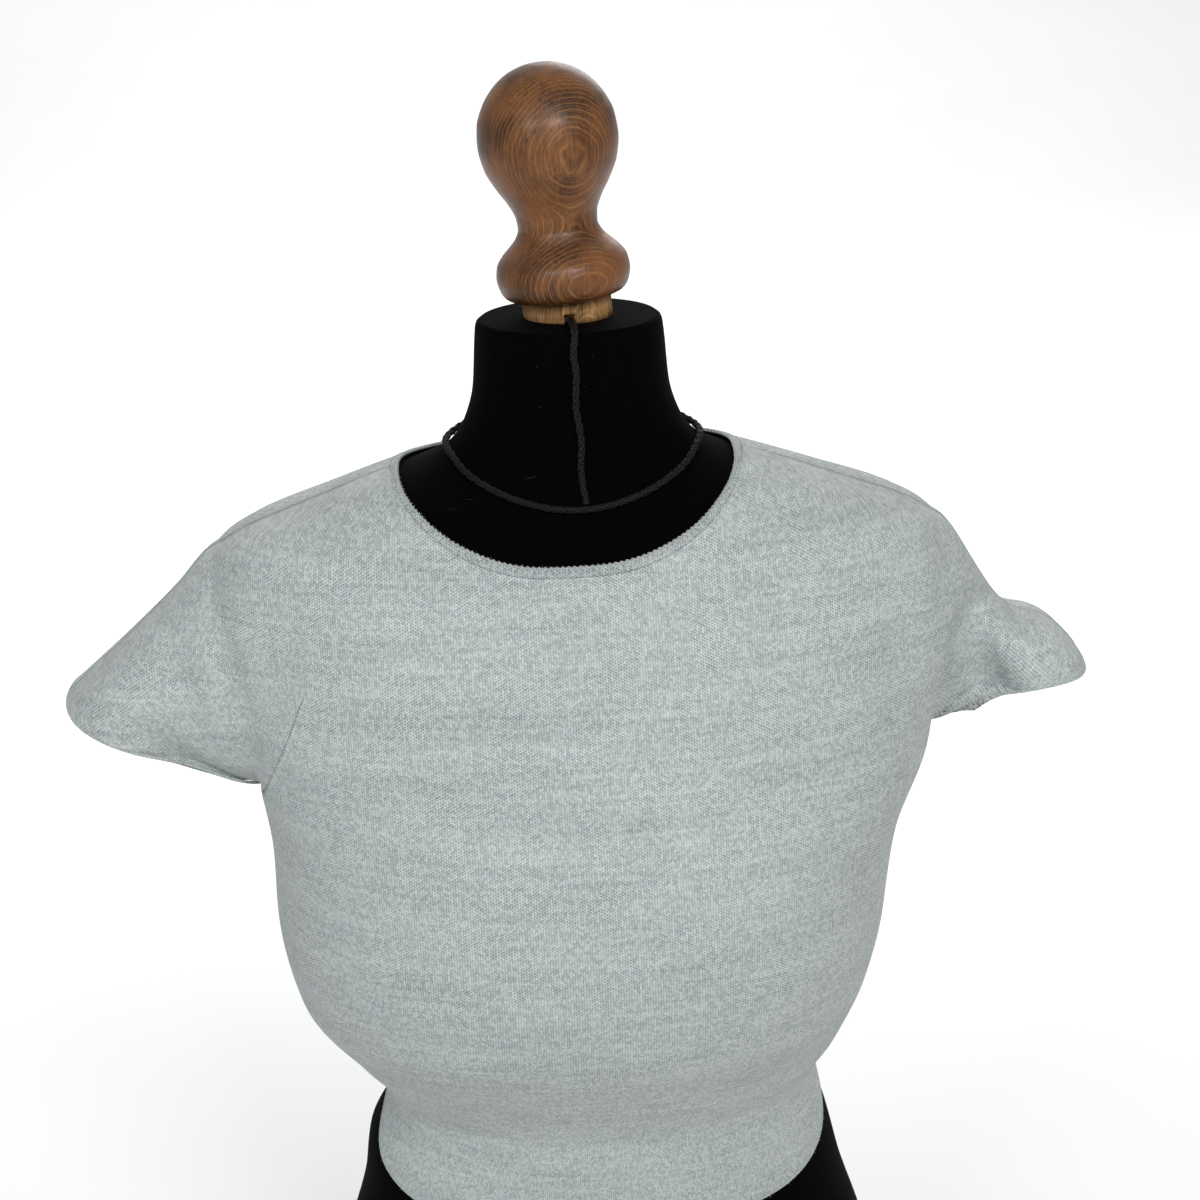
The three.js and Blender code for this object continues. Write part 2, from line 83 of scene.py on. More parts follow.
class Curve:
    """A smooth curve through a table's rows that never overshoots between them."""

    def __init__(self, at: Sequence[float], values: Sequence[float]) -> None:
        """Works out the slope at each row, which is level where the curve turns.

        Args:
            at: rising positions of the rows.
            values: the value at each row.
        """
        self.at = np.asarray(at, float)
        self.values = np.asarray(values, float)
        slope = np.diff(self.values) / np.diff(self.at)
        before, after = slope[:-1], slope[1:]
        turning = before * after <= 0
        safe_before = np.where(turning, 1.0, before)
        safe_after = np.where(turning, 1.0, after)
        inner = np.where(turning, 0.0, 2 / (1 / safe_before + 1 / safe_after))
        self.tangent = np.concatenate([slope[:1], inner, slope[-1:]])

    def __call__(self, position: Array) -> Array:
        """Value of the curve: a cubic between the two rows beside each position."""
        p = np.clip(position, self.at[0], self.at[-1])
        i = np.clip(np.searchsorted(self.at, p) - 1, 0, len(self.at) - 2)
        h = self.at[i + 1] - self.at[i]
        t = (p - self.at[i]) / h
        rest = 1 - t
        start = self.values[i] * (1 + 2 * t) + self.tangent[i] * h * t
        end = self.values[i + 1] * (3 - 2 * t) - self.tangent[i + 1] * h * rest
        return start * rest * rest + end * t * t


def bump(value: Array, centre: float, width: float) -> Array:
    """A soft hill: e to the minus square of the distance from its centre in widths."""
    return np.exp(-(((value - centre) / width) ** 2))


def smoothstep(value: Array, low: float, high: float) -> Array:
    """Rises softly from 0 at low to 1 at high."""
    t = np.clip((value - low) / (high - low), 0, 1)
    return t * t * (3 - 2 * t)


def height_where(falling: Callable[[Array], Array], target: Array, low: float, high: float) -> Array:
    """Halves the span until the height where a falling quantity passes its target is known.

    Args:
        falling: the quantity as a function of height.
        target: the value looked for, at each place.
        low: lowest height.
        high: greatest height.

    Returns:
        The heights, one for each target.
    """
    a = np.full(np.shape(target), float(low))
    b = np.full(np.shape(target), float(high))
    for _ in range(40):
        middle = (a + b) / 2
        above = falling(middle) > target
        a = np.where(above, middle, a)
        b = np.where(above, b, middle)
    return (a + b) / 2


def unit(vectors: Array) -> Array:
    """The same directions with length 1."""
    return vectors / np.maximum(np.linalg.norm(vectors, axis=-1, keepdims=True), 1e-9)


def heading(line: Array, closed: bool, axis: int = 0) -> Array:
    """Direction of travel at each point of a line."""
    if closed:
        return unit(np.roll(line, -1, axis) - np.roll(line, 1, axis))
    return unit(np.gradient(line, axis=axis))


def travelled(line: Array, axis: int = 0) -> Array:
    """Distance along a line from its start to each of its points."""
    return np.insert(np.cumsum(np.linalg.norm(np.diff(line, axis=axis), axis=-1), axis), 0, 0, axis)


@dataclass(frozen=True)
class FormShape:
    """The dress form's surface: a stack of squared ovals from its underside to the top of its neck."""

    height: float = 690.0
    body_slack: float = 0.9
    shoulder_slack: float = 4.0
    slack_at: float = 586.0
    slack_height: float = 34.0
    slope_from: float = 565.0
    shoulder_half: float = 184.0
    levels: Table = (
        0, 60, 140, 200, 230, 264, 297, 335, 375, 420, 465, 520,
        560, 574, 583, 596, 607, 615, 623, 636, 655, 683, 688, 690)
    halves: Table = (
        160, 162, 153, 136, 130, 116.5, 135, 153.5, 161, 163.5, 172, 180,
        186, 185, 172, 137, 106, 83, 67, 57, 51, 48.5, 47.8, 45.5)
    fronts: Table = (
        106, 106, 98, 93, 91.5, 92, 106, 127, 136, 132, 118, 99,
        86, 81, 77, 68, 60, 55, 52, 50, 48, 47, 46.3, 44)
    backs: Table = (
        112, 113, 104, 86, 80, 77, 80, 88, 95, 102, 108, 109,
        99, 92, 86, 72, 62, 55, 52, 50, 48, 47, 46.3, 44)
    middles: Table = (
        4, 4, 4, 4, 4, 4, 3, 2, 1, 0, 1, 3, 6, 7, 8, 10, 11, 11, 10, 8, 4, 0, 0, 0)
    shifts: Table = (
        0, 0, 0, 0, -1, 2, -1, -6, -5.5, -2.5, 0, 0, 0, 0, 0, 0, 0, 0, 0, 0, 0, 0, 0, 0)
    powers: Table = (
        2.2, 2.2, 2.2, 2.2, 2.2, 2.2, 2.3, 2.4, 2.4, 2.4, 2.4, 2.4,
        2.4, 2.4, 2.35, 2.3, 2.2, 2.1, 2, 2, 2, 2, 2, 2)

    def curve(self, values: Sequence[float]) -> Curve:
        """One of the table's columns as a smooth curve of the height."""
        return Curve(self.levels, values)

    def half(self, z: Array) -> Array:
        """Half width of the form and of the top's body on it."""
        return self.curve(self.halves)(z)

    def middle(self, z: Array) -> Array:
        """How far back the middle of the section lies."""
        return self.curve(self.middles)(z)

    def shift(self, z: Array) -> Array:
        """How far the section leans to one side."""
        return self.curve(self.shifts)(z)

    def power(self, z: Array) -> Array:
        """How square the section is: 2 is a plain oval."""
        return self.curve(self.powers)(z)

    def depth(self, z: Array, face: Face) -> Array:
        """How far the front or the back stands out from the middle."""
        return self.curve(self.fronts if face is Face.FRONT else self.backs)(z)

    def slack(self, z: Array) -> Array:
        """How much slimmer than the cloth the form is, most at the ends of its shoulders."""
        return self.body_slack + self.shoulder_slack * bump(z, self.slack_at, self.slack_height)

    def point(self, turn: Array, z: Array) -> Array:
        """A point of the form: a squared oval in polar form, by its angle and height.

        Args:
            turn: angle from the viewer's right, anticlockwise seen from above.
            z: height.

        Returns:
            Points with a last axis of three.
        """
        c, s = np.cos(turn), np.sin(turn)
        power = self.power(z)
        slack = self.slack(z)
        deep = np.where(s < 0, self.depth(z, Face.FRONT), self.depth(z, Face.BACK)) - slack / 2
        size = (np.abs(c) / (self.half(z) - slack)) ** power + (np.abs(s) / deep) ** power
        radius = size ** (-1 / power)
        return np.stack([self.shift(z) + radius * c, self.middle(z) + radius * s, z + 0 * turn], -1)

    def normal(self, turn: Array, z: Array) -> Array:
        """Outward direction: across both ways that the surface runs."""
        step = 0.01
        around = self.point(turn + step, z) - self.point(turn - step, z)
        upward = self.point(turn, z + step) - self.point(turn, z - step)
        return unit(np.cross(around, upward))


@dataclass(frozen=True)
class Crease:
    """A soft trough or ridge in the cloth, as a line in the front view."""

    face: Face
    start: Pair
    end: Pair
    width: float
    depth: float
    bend: float = 0.0

    def lift(self, x: Array, z: Array) -> Array:
        """Height of the crease: a hill across its bent line, faded at both of its ends."""
        ax, az = self.start
        dx, dz = self.end[0] - ax, self.end[1] - az
        length = np.hypot(dx, dz)
        along = ((x - ax) * dx + (z - az) * dz) / length**2
        off = ((x - ax) * dz - (z - az) * dx) / length
        middle = self.bend * np.sin(np.pi * np.clip(along, 0, 1))
        fade = np.sin(np.pi * np.clip(along, 0, 1)) ** 0.8
        return self.depth * fade * bump(off, middle, self.width)


@dataclass(frozen=True)
class TopShape:
    """The crop top's surface, as two panels that run from the neckline to their outer edge."""

    form: FormShape = field(default_factory=FormShape)
    hem_height: float = 257.0
    hem_dip: Pair = (42.0, 20.0)
    hem_round: float = 1.25
    neck_half_width: float = 87.0
    neck_shift: float = -4.0
    neck_depth: Pair = (79.0, 55.0)
    neck_square: Pair = (2.8, 2.5)
    neck_from: float = 540.0
    top_gap: float = 8.0
    tip_half_span: float = 268.0
    underarm: Pair = (450.0, 466.0)
    flare: Pair = (1.0, 8.0)
    flare_height: float = 34.0
    dip: Pair = (0.0, 17.0)
    droop: Pair = (0.0, 14.0)
    dip_at: float = 222.0
    dip_width: float = 20.0
    cuff_lift: Pair = (4.0, 9.0)
    hollow: Pair = (8.0, 16.0)
    hollow_at: float = 204.0
    hollow_width: float = 20.0
    tip_line: Table = (590, 584, 575, 556, 532, 501)
    tip_reach: Table = (120, 160, 187, 206, 232, 268)
    tip_in: Pair = (0.0, 6.0)
    sleeve_half_depth: float = 50.0
    sleeve_start: float = 120.0
    sleeve_full: float = 176.0
    ease: float = 1.2
    wall: float = 1.3
    hem_share: float = 9 / 25
    side_share: float = 17 / 25
    waist_to: float = 335.0
    lowest: float = 200.0

    def by_side(self, x: Array, pair: Pair) -> Array:
        """The value for the viewer's left or right side."""
        return np.where(np.asarray(x) < 0, pair[0], pair[1])

    def by_face(self, face: Face, pair: Pair) -> float:
        """The value for the front or the back."""
        return pair[0] if face is Face.FRONT else pair[1]

    def sleeve_top(self, x: Array) -> Array:
        """Height of the sleeves' upper line, with a dip past one shoulder and a drooping tip."""
        line = Curve(self.tip_reach, self.tip_line)
        reach = np.abs(x)
        past = np.maximum(reach - self.dip_at, 0) / (self.tip_half_span - self.dip_at)
        dip = self.by_side(x, self.dip) * bump(reach, self.dip_at, self.dip_width)
        return line(reach) - dip - self.by_side(x, self.droop) * past**3

    def tip(self, sign: Array) -> Array:
        """Where the sleeve's tip lies across the object."""
        return sign * (self.tip_half_span - self.by_side(sign, self.tip_in))

    def ridge(self, x: Array) -> Array:
        """Height of the shoulder's ridge: the form's own slope, then the sleeve's line."""
        reach = np.abs(x)
        slope = height_where(self.form.half, reach, self.form.slope_from,
                             self.form.height - self.top_gap)
        own = np.where(reach < self.form.shoulder_half, slope, -1e9)
        return np.where(reach < self.sleeve_start, own, np.maximum(own, self.sleeve_top(x)))

    def body_half(self, z: Array, sign: Array) -> Array:
        """Half width of the top's body, which stands off the form below one sleeve."""
        low = self.by_side(sign, self.underarm)
        loose = self.by_side(sign, self.flare) * bump(z, low, self.flare_height)
        return self.form.half(z) + loose

    def body_depth(self, x: Array, z: Array, face: Face) -> Array:
        """How far the body stands out at a place in the front view, by the squared oval."""
        share = np.abs(x - self.form.shift(z)) / self.body_half(z, x)
        power = self.form.power(z)
        inside = np.clip(1 - np.minimum(share, 1) ** power, 0, 1)
        return self.form.depth(z, face) * inside ** (1 / power)

    def sleeve_depth(self, x: Array, z: Array) -> Array:
        """How far a cap sleeve stands out: a flattened tube with a hollow beside the shoulder."""
        reach = np.abs(x)
        low = self.by_side(x, self.underarm)
        half_height = (self.sleeve_top(x) - low) / 2
        level = np.clip((z - low - half_height) / half_height, -1, 1)
        grow = smoothstep(reach, self.sleeve_start, self.sleeve_full)
        hollow = self.by_side(x, self.hollow) * bump(reach, self.hollow_at, self.hollow_width)
        deep = self.sleeve_half_depth * grow - hollow
        out = np.maximum(deep * np.sqrt(1 - level**2), 0)
        return np.where(reach > self.sleeve_start, out, 0)

    def cloth_depth(self, x: Array, z: Array, face: Face) -> Array:
        """Body and sleeve run softly into one surface: the fourth root of their fourth powers."""
        return (self.body_depth(x, z, face) ** 4 + self.sleeve_depth(x, z) ** 4) ** 0.25

    def neckline(self, turn: Array, face: Face) -> tuple[Array, Array]:
        """The neckline in the front view: a squared oval in plan, as high as the body is there."""
        square = self.by_face(face, self.neck_square)
        deepest = self.by_face(face, self.neck_depth)
        s, c = np.sin(turn), np.cos(turn)
        radius = ((np.abs(s) / self.neck_half_width) ** square
                  + (np.maximum(c, 0) / deepest) ** square) ** (-1 / square)
        x = self.neck_shift + radius * s
        z = height_where(lambda level: self.body_depth(x, level, face), radius * np.maximum(c, 0),
                         self.neck_from, self.form.height - self.top_gap)
        return x, z

    def outer_edge(self, across: Array, face: Face) -> tuple[Array, Array]:
        """A panel's outer edge in the front view: cuff, side seam, hem, side seam and cuff.

        Args:
            across: from -1 at one shoulder to 1 at the other.
            face: the panel.

        Returns:
            Sideways places and heights.
        """
        reach = np.abs(across)
        sign = np.where(across < 0, -1.0, 1.0)
        share = np.sin(np.minimum(reach / self.hem_share, 1) * QUARTER)
        power = self.form.power(np.float64(self.hem_height))
        forward = np.clip(1 - share**power, 0, 1) ** (1 / power)
        dip = self.by_face(face, self.hem_dip)
        hem_z = self.hem_height - dip * np.sin(forward * QUARTER) ** self.hem_round
        hem_x = self.form.shift(hem_z) + sign * share * self.body_half(hem_z, sign)
        low = self.by_side(sign, self.underarm)
        up = np.clip((reach - self.hem_share) / (self.side_share - self.hem_share), 0, 1)
        side_z = self.hem_height + (low - self.hem_height) * up
        side_x = self.form.shift(side_z) + sign * self.body_half(side_z, sign)
        step = np.clip((reach - self.side_share) / (1 - self.side_share), 0, 1)
        along = (1 - np.cos(np.pi * step)) / 2
        start = sign * self.body_half(low, sign)
        cuff_x = start + (self.tip(sign) - start) * along
        lift = self.by_side(sign, self.cuff_lift) * np.sin(np.pi * along)
        cuff_z = low + (self.ridge(self.tip(sign)) - low) * along + lift
        x = np.where(reach <= self.hem_share, hem_x, np.where(reach <= self.side_share, side_x, cuff_x))
        z = np.where(reach <= self.hem_share, hem_z, np.where(reach <= self.side_share, side_z, cuff_z))
        return x, z

    def shoulder_bow(self, sign: float, share: Array) -> Array:
        """How far the shoulder seam bows away from a straight line between its ends."""
        neck = self.neck_shift + sign * self.neck_half_width
        tip = float(self.tip(np.float64(sign)))
        line = self.ridge(neck + (tip - neck) * share)
        ends = self.ridge(np.array([neck, tip]))
        return line - ends[0] * (1 - share) - ends[1] * share

    def waist_scale(self, z: Array) -> Array:
        """Width that the panel's lines are drawn in with at the waist."""
        return self.form.half(np.minimum(z, self.waist_to))

    def place(self, across: Array, even: Array, face: Face) -> tuple[Array, Array]:
        """A panel's place in the front view, on lines from the neckline to the outer edge.

        Args:
            across: from -1 at one shoulder to 1 at the other.
            even: from 0 at the neckline to 1 at the outer edge.
            face: the panel.

        Returns:
            Sideways places and heights.
        """
        crowding = np.minimum(np.abs(across) / self.hem_share, 1)
        share = even + crowding * (np.sin(even * QUARTER) - even)
        turn = (across + np.sin(across * QUARTER)) / 2 * QUARTER
        inner_x, inner_z = self.neckline(turn, face)
        outer_x, outer_z = self.outer_edge(across, face)
        left = (1 - across) / 2
        bow = self.shoulder_bow(-1, share) * left + self.shoulder_bow(1, share) * (1 - left)
        z = inner_z * (1 - share) + outer_z * share + bow * np.abs(across) ** 1.5
        start = inner_x / self.waist_scale(inner_z)
        end = (outer_x - self.form.shift(outer_z)) / self.waist_scale(outer_z)
        x = self.form.shift(z) + (start * (1 - share) + end * share) * self.waist_scale(z)
        return x, z

    def surface(self, x: Array, z: Array, face: Face) -> Array:
        """Middle surface of the cloth over a place in the front view."""
        y = self.form.middle(z) + face.value * self.cloth_depth(x, z, face)
        return np.stack([x, y, z], -1)

    def point(self, across: Array, even: Array, face: Face) -> Array:
        """A panel's point by its place across and its place down each line."""
        return self.surface(*self.place(across, even, face), face)

    def across_cloth(self, x: Array, z: Array, face: Face) -> Array:
        """Distance along the cloth from the middle line, level by level, for the knit's columns.

        Below the bust the columns draw in with the waist, as the knit does there.
        """
        steps = np.linspace(0, 1, 49)
        line = x[..., None] * steps
        deep = self.cloth_depth(line, z[..., None] + 0 * line, face)
        run = np.hypot(np.diff(line, axis=-1), np.diff(deep, axis=-1)).sum(-1)
        wide = self.form.half(np.float64(self.waist_to)) + self.form.depth(np.float64(self.waist_to), face)
        here = self.form.half(z) + self.form.depth(z, face)
        gather = np.where(z < self.waist_to, wide / here, 1.0)
        return np.sign(x) * run * gather

    def down_cloth(self, z: Array, face: Face) -> Array:
        """Distance along the cloth down its middle line, for the knit's rows."""
        levels = np.linspace(self.lowest, self.form.height, 400)
        return np.interp(z, levels, travelled(np.stack([levels, self.form.depth(levels, face)], -1)))


@dataclass(frozen=True)
class Place:
    """Carries millimetres about the form's middle line into the frame's metres."""

    x: float
    y: float

    @classmethod
    def from_frame(cls) -> "Place":
        """Reads the shift from the form, even in x, and from the turned knob, even in y."""
        knob_low, knob_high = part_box("neck_knob")
        form_low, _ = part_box("form_body")
        shape = FormShape()
        levels = np.linspace(0, shape.height, 2000)
        left = (shape.shift(levels) - shape.half(levels) + shape.slack(levels)).min()
        return cls(form_low.x * MM - float(left), (knob_low.y + knob_high.y) / 2 * MM)

    def __call__(self, points: Array) -> Array:
        """Points in metres, in the frame."""
        return (points + np.array([self.x, self.y, 0.0])) / MM


@dataclass
class Solid:
    """Points and faces of a mesh that grows piece by piece."""

    points: list[Array] = field(default_factory=list)
    faces: list[Array] = field(default_factory=list)
    maps: list[Array] = field(default_factory=list)
    edges: list[Array] = field(default_factory=list)
    count: int = 0

    def add(self, points: Array, faces: Sequence[Array], maps: Array | None = None,
            edges: Array | None = None) -> None:
        """Adds points with the faces that join them.

        Args:
            points: any shape with a last axis of three.
            faces: arrays of corner numbers, one row for each face, counted from these points.
            maps: the points' place on the cloth or thread, in millimetres.
            edges: the points' distance from the neckline and from the outer edge.
        """
        flat = points.reshape(-1, 3)
        blank = np.zeros((len(flat), 2))
        self.points.append(flat)
        self.maps.append(blank if maps is None else maps.reshape(-1, 2))
        self.edges.append(blank if edges is None else edges.reshape(-1, 2))
        self.faces.extend(np.asarray(f, int) + self.count for f in faces)
        self.count += len(flat)

    def build(self, name: str, place: Place, material: Material, slot: str,
              replaces: Sequence[str] = ()) -> bpy.types.Object:
        """Puts the piece into the scene, on its body and in its finish.

        Args:
            name: the piece's name.
            place: carries the points into the frame.
            material: its finish.
            slot: names the finish's slot, but is not used.
            replaces: the frame's nodes that it stands for.

        Returns:
            The new object.
        """
        mesh = bpy.data.meshes.new(name)
        points = place(np.concatenate(self.points)).astype(np.float32)
        mesh.vertices.add(len(points))
        mesh.vertices.foreach_set("co", points.ravel())
        corners = np.concatenate([f.ravel() for f in self.faces]).astype(np.int32)
        totals = np.concatenate([np.full(len(f), f.shape[1]) for f in self.faces]).astype(np.int32)
        starts = np.concatenate([[0], np.cumsum(totals)[:-1]]).astype(np.int32)
        mesh.loops.add(len(corners))
        mesh.loops.foreach_set("vertex_index", corners)
        mesh.polygons.add(len(totals))
        mesh.polygons.foreach_set("loop_start", starts)
        mesh.polygons.foreach_set("loop_total", totals)
        mesh.polygons.foreach_set("use_smooth", np.ones(len(totals), bool))
        for label, values in (("cloth", self.maps), ("edge", self.edges)):
            on_corners = (np.concatenate(values) / MM)[corners].astype(np.float32)
            mesh.uv_layers.new(name=label).data.foreach_set("uv", on_corners.ravel())
        mesh.materials.append(material)
        mesh.update(calc_edges=True)
        mesh.validate()
        piece = bpy.data.objects.new(name, mesh)
        bpy.context.scene.collection.objects.link(piece)
        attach(piece, "root")
        if replaces:
            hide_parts(*replaces)
        LOG.info("%s: %d points, %d faces", name, len(points), len(totals))
        return piece


def grid_faces(rows: int, columns: int, closed: bool = False, flip: bool = False) -> Array:
    """Quads of a grid of points, numbered row by row.

    Args:
        rows: how many rows of points.
        columns: how many points in a row.
        closed: whether the last column joins the first.
        flip: whether the faces turn the other way.

    Returns:
        Corner numbers, four to a face.
    """
    row = np.arange(rows - 1)[:, None]
    column = np.arange(columns if closed else columns - 1)[None, :]
    after = (column + 1) % columns
    quads = np.stack([row * columns + column, row * columns + after,
                      (row + 1) * columns + after, (row + 1) * columns + column], -1).reshape(-1, 4)
    return quads[:, ::-1] if flip else quads


def border(rows: int, columns: int) -> Array:
    """Corner numbers round a grid's border, in order, without the first repeated."""
    top = np.arange(columns - 1)
    right = np.arange(rows - 1) * columns + columns - 1
    bottom = (rows - 1) * columns + np.arange(columns - 1, 0, -1)
    left = np.arange(rows - 1, 0, -1) * columns
    return np.concatenate([top, right, bottom, left])


def surface_normals(grid: Array) -> Array:
    """Directions across both ways that a grid of points runs, exact at its edges."""
    down = np.gradient(grid, axis=0, edge_order=2)
    along = np.gradient(grid, axis=1, edge_order=2)
    return unit(np.cross(along, down))


def tubes(solid: Solid, paths: Array, ups: Array, radius: Array | float, sides: int,
          closed: bool = False) -> None:
    """Carries a round profile along paths: each point moves out by a turning mix of two directions.

    Args:
        solid: takes the tubes.
        paths: tubes by points by three.
        ups: a direction at each point that the profile is turned from.
        radius: one radius, or one for each point along the path.
        sides: points round the profile.
        closed: whether each path ends where it began.
    """
    paths = paths if paths.ndim == 3 else paths[None]
    ups = ups if ups.ndim == 3 else ups[None]
    many, length = paths.shape[:2]
    run = heading(paths, closed, 1)
    side = unit(np.cross(run, ups))
    up = np.cross(side, run)
    turn = np.arange(sides) / sides * TURN
    size = np.broadcast_to(np.asarray(radius, float), (length,))[None, :, None, None]
    rings = (paths[:, :, None] + size * (up[:, :, None] * np.cos(turn)[:, None]
                                         + side[:, :, None] * np.sin(turn)[:, None]))
    maps = np.stack(np.broadcast_arrays(travelled(paths, 1)[:, :, None], turn[None, None]), -1)
    one = grid_faces(length, sides, closed=True)
    if closed:
        last = (length - 1) * sides
        ring = np.arange(sides)
        after = (ring + 1) % sides
        one = np.concatenate([one, np.stack([last + ring, last + after, after, ring], -1)])
    offsets = np.arange(many)[:, None, None] * length * sides
    faces = [(one[None] + offsets).reshape(-1, 4)]
    if not closed:
        start = np.arange(sides)[::-1]
        end = (length - 1) * sides + np.arange(sides)
        faces += [(cap[None] + offsets[:, 0]).reshape(-1, sides) for cap in (start, end)]
    solid.add(rings, faces, maps, np.full((many * length * sides, 2), NO_EDGE))


class Nodes:
    """A material's node tree, with short ways to place and join its nodes."""

    def __init__(self, tree: bpy.types.NodeTree) -> None:
        """Takes the tree to build in."""
        self.tree = tree

    def add(self, kind: str, settings: dict | None = None, **inputs: object) -> Node:
        """Places a node.

        Args:
            kind: the node's type without its ShaderNode prefix.
            settings: values of the node itself.
            inputs: values or joined sockets, by input name with _ for a space.

        Returns:
            The node.
        """
        node = self.tree.nodes.new("ShaderNode" + kind)
        for key, value in (settings or {}).items():
            setattr(node, key, value)
        self.fill(node, **inputs)
        return node

    def fill(self, node: Node, **inputs: object) -> None:
        """Sets or joins a node's inputs by name, with _ for a space."""
        for key, value in inputs.items():
            self.join(node, key.replace("_", " "), value)

    def join(self, node: Node, name: str | int, value: object) -> None:
        """Sets an input to a value, or joins a socket to it."""
        socket = node.inputs[name]
        if isinstance(value, Socket):
            self.tree.links.new(value, socket)
        else:
            socket.default_value = value

    def math(self, operation: str, *values: object) -> Socket:
        """A sum of one, two or three values, such as ADD or SINE."""
        node = self.add("Math", {"operation": operation})
        for i, value in enumerate(values):
            self.join(node, i, value)
        return node.outputs[0]

    def plus(self, value: object, share: object, onto: object) -> Socket:
        """Adds a share of a value to another."""
        return self.math("MULTIPLY_ADD", value, share, onto)

    def times(self, first: object, second: object) -> Socket:
        """One value times another."""
        return self.math("MULTIPLY", first, second)

    def mix(self, share: object, first: object, second: object) -> Socket:
        """Runs from the first colour to the second."""
        node = self.add("Mix", {"data_type": "RGBA"})
        self.join(node, 0, share)
        self.join(node, 6, first)
        self.join(node, 7, second)
        return node.outputs[2]

    def noise(self, vector: object, scale: Triple, detail: float = 2.0,
              rough: float = 0.5) -> Socket:
        """Soft noise from 0 to 1 with its own scale along each axis."""
        stretched = self.add("VectorMath", {"operation": "MULTIPLY"})
        self.join(stretched, 0, vector)
        self.join(stretched, 1, scale)
        node = self.add("TexNoise", Vector=stretched.outputs[0], Scale=1.0, Detail=detail, Roughness=rough)
        return node.outputs[0]

    def cloth(self) -> Socket:
        """The piece's own map, in metres along the cloth or the thread."""
        return self.add("UVMap", {"uv_map": "cloth"}).outputs[0]

    def sway(self, value: object, share: float, onto: object) -> Socket:
        """Adds a share of a value's distance from its middle, 0.5."""
        return self.plus(self.math("SUBTRACT", value, 0.5), share, onto)

    def relief(self, strength: float, depth: float, height: object) -> Socket:
        """The surface's direction under a small relief, with its strength and its depth in metres."""
        return self.add("Bump", Strength=strength, Distance=depth, Height=height).outputs[0]

    def span(self, value: object, low: float, high: float, to_low: float = 0.0,
             to_high: float = 1.0) -> Socket:
        """Carries one span of values onto another, and holds them inside it."""
        node = self.add("MapRange", {"interpolation_type": "SMOOTHSTEP"}, Value=value, From_Min=low,
                        From_Max=high, To_Min=to_low, To_Max=to_high)
        return node.outputs[0]


def palette(shades: object, nodes: Nodes, tone: object) -> Socket:
    """Runs from a finish's dark colour to its light one."""
    return nodes.mix(tone, colour(*shades.dark), colour(*shades.light))


def colour(red: int, green: int, blue: int) -> tuple[float, float, float, float]:
    """A colour as a screen shows it, made even in light."""
    values = np.array([red, green, blue]) / 255
    even = np.where(values <= 0.04045, values / 12.92, ((values + 0.055) / 1.055) ** 2.4)
    return (*map(float, even), 1.0)


def principled(name: str) -> tuple[Nodes, Node]:
    """A new material's nodes and its surface shader.

    Args:
        name: the material's name.

    Returns:
        The nodes, and the Principled shader, joined to the output.
    """
    material = bpy.data.materials.new(name)
    material.use_nodes = True
    return Nodes(material.node_tree), material.node_tree.nodes["Principled BSDF"]


class KnitPattern:
    """Shader group of knitted stitches in columns, each column a little lower than the last."""

    name = "knit stitches"

    @classmethod
    def tree(cls) -> bpy.types.NodeTree:
        """The group, built once. Its outputs are the height of the yarn, a random speck for each
        stitch and the slanting lines that the stitches' steps make."""
        found = bpy.data.node_groups.get(cls.name)
        if found:
            return found
        tree = bpy.data.node_groups.new(cls.name, "ShaderNodeTree")
        tree.interface.new_socket("Map", in_out="INPUT", socket_type="NodeSocketVector")
        for label, value in (("Column", 0.0013), ("Row", 0.0011), ("Step", 0.5), ("Slant", 0.6)):
            socket = tree.interface.new_socket(label, in_out="INPUT", socket_type="NodeSocketFloat")
            socket.default_value = value
        for label in ("Height", "Speck", "Twill"):
            tree.interface.new_socket(label, in_out="OUTPUT", socket_type="NodeSocketFloat")
        nodes = Nodes(tree)
        given = tree.nodes.new("NodeGroupInput")
        result = tree.nodes.new("NodeGroupOutput")
        place = nodes.add("SeparateXYZ", Vector=given.outputs["Map"])
        reach = nodes.math("ABSOLUTE", place.outputs[0])
        across = nodes.math("DIVIDE", reach, given.outputs["Column"])
        up = nodes.math("DIVIDE", place.outputs[1], given.outputs["Row"])
        column = nodes.math("FLOOR", across)
        inside = nodes.math("FRACT", across)
        off = nodes.math("ABSOLUTE", nodes.math("SUBTRACT", inside, 0.5))
        stepped = nodes.plus(column, given.outputs["Step"], up)
        along = nodes.plus(off, given.outputs["Slant"], stepped)
        arch = nodes.math("SINE", nodes.times(inside, np.pi))
        hump = nodes.math("SINE", nodes.times(nodes.math("FRACT", along), np.pi))
        height = nodes.math("POWER", nodes.times(arch, hump), 0.6)
        whole = nodes.math("FLOOR", nodes.math("DIVIDE", place.outputs[0], given.outputs["Column"]))
        cell = nodes.add("CombineXYZ", X=whole, Y=nodes.math("FLOOR", along))
        speck = nodes.add("TexWhiteNoise", {"noise_dimensions": "2D"}, Vector=cell.outputs[0])
        slope = nodes.plus(across, given.outputs["Step"], up)
        twill = nodes.math("SINE", nodes.times(slope, TURN))
        nodes.fill(result, Height=height, Speck=speck.outputs[0], Twill=twill)
        return tree


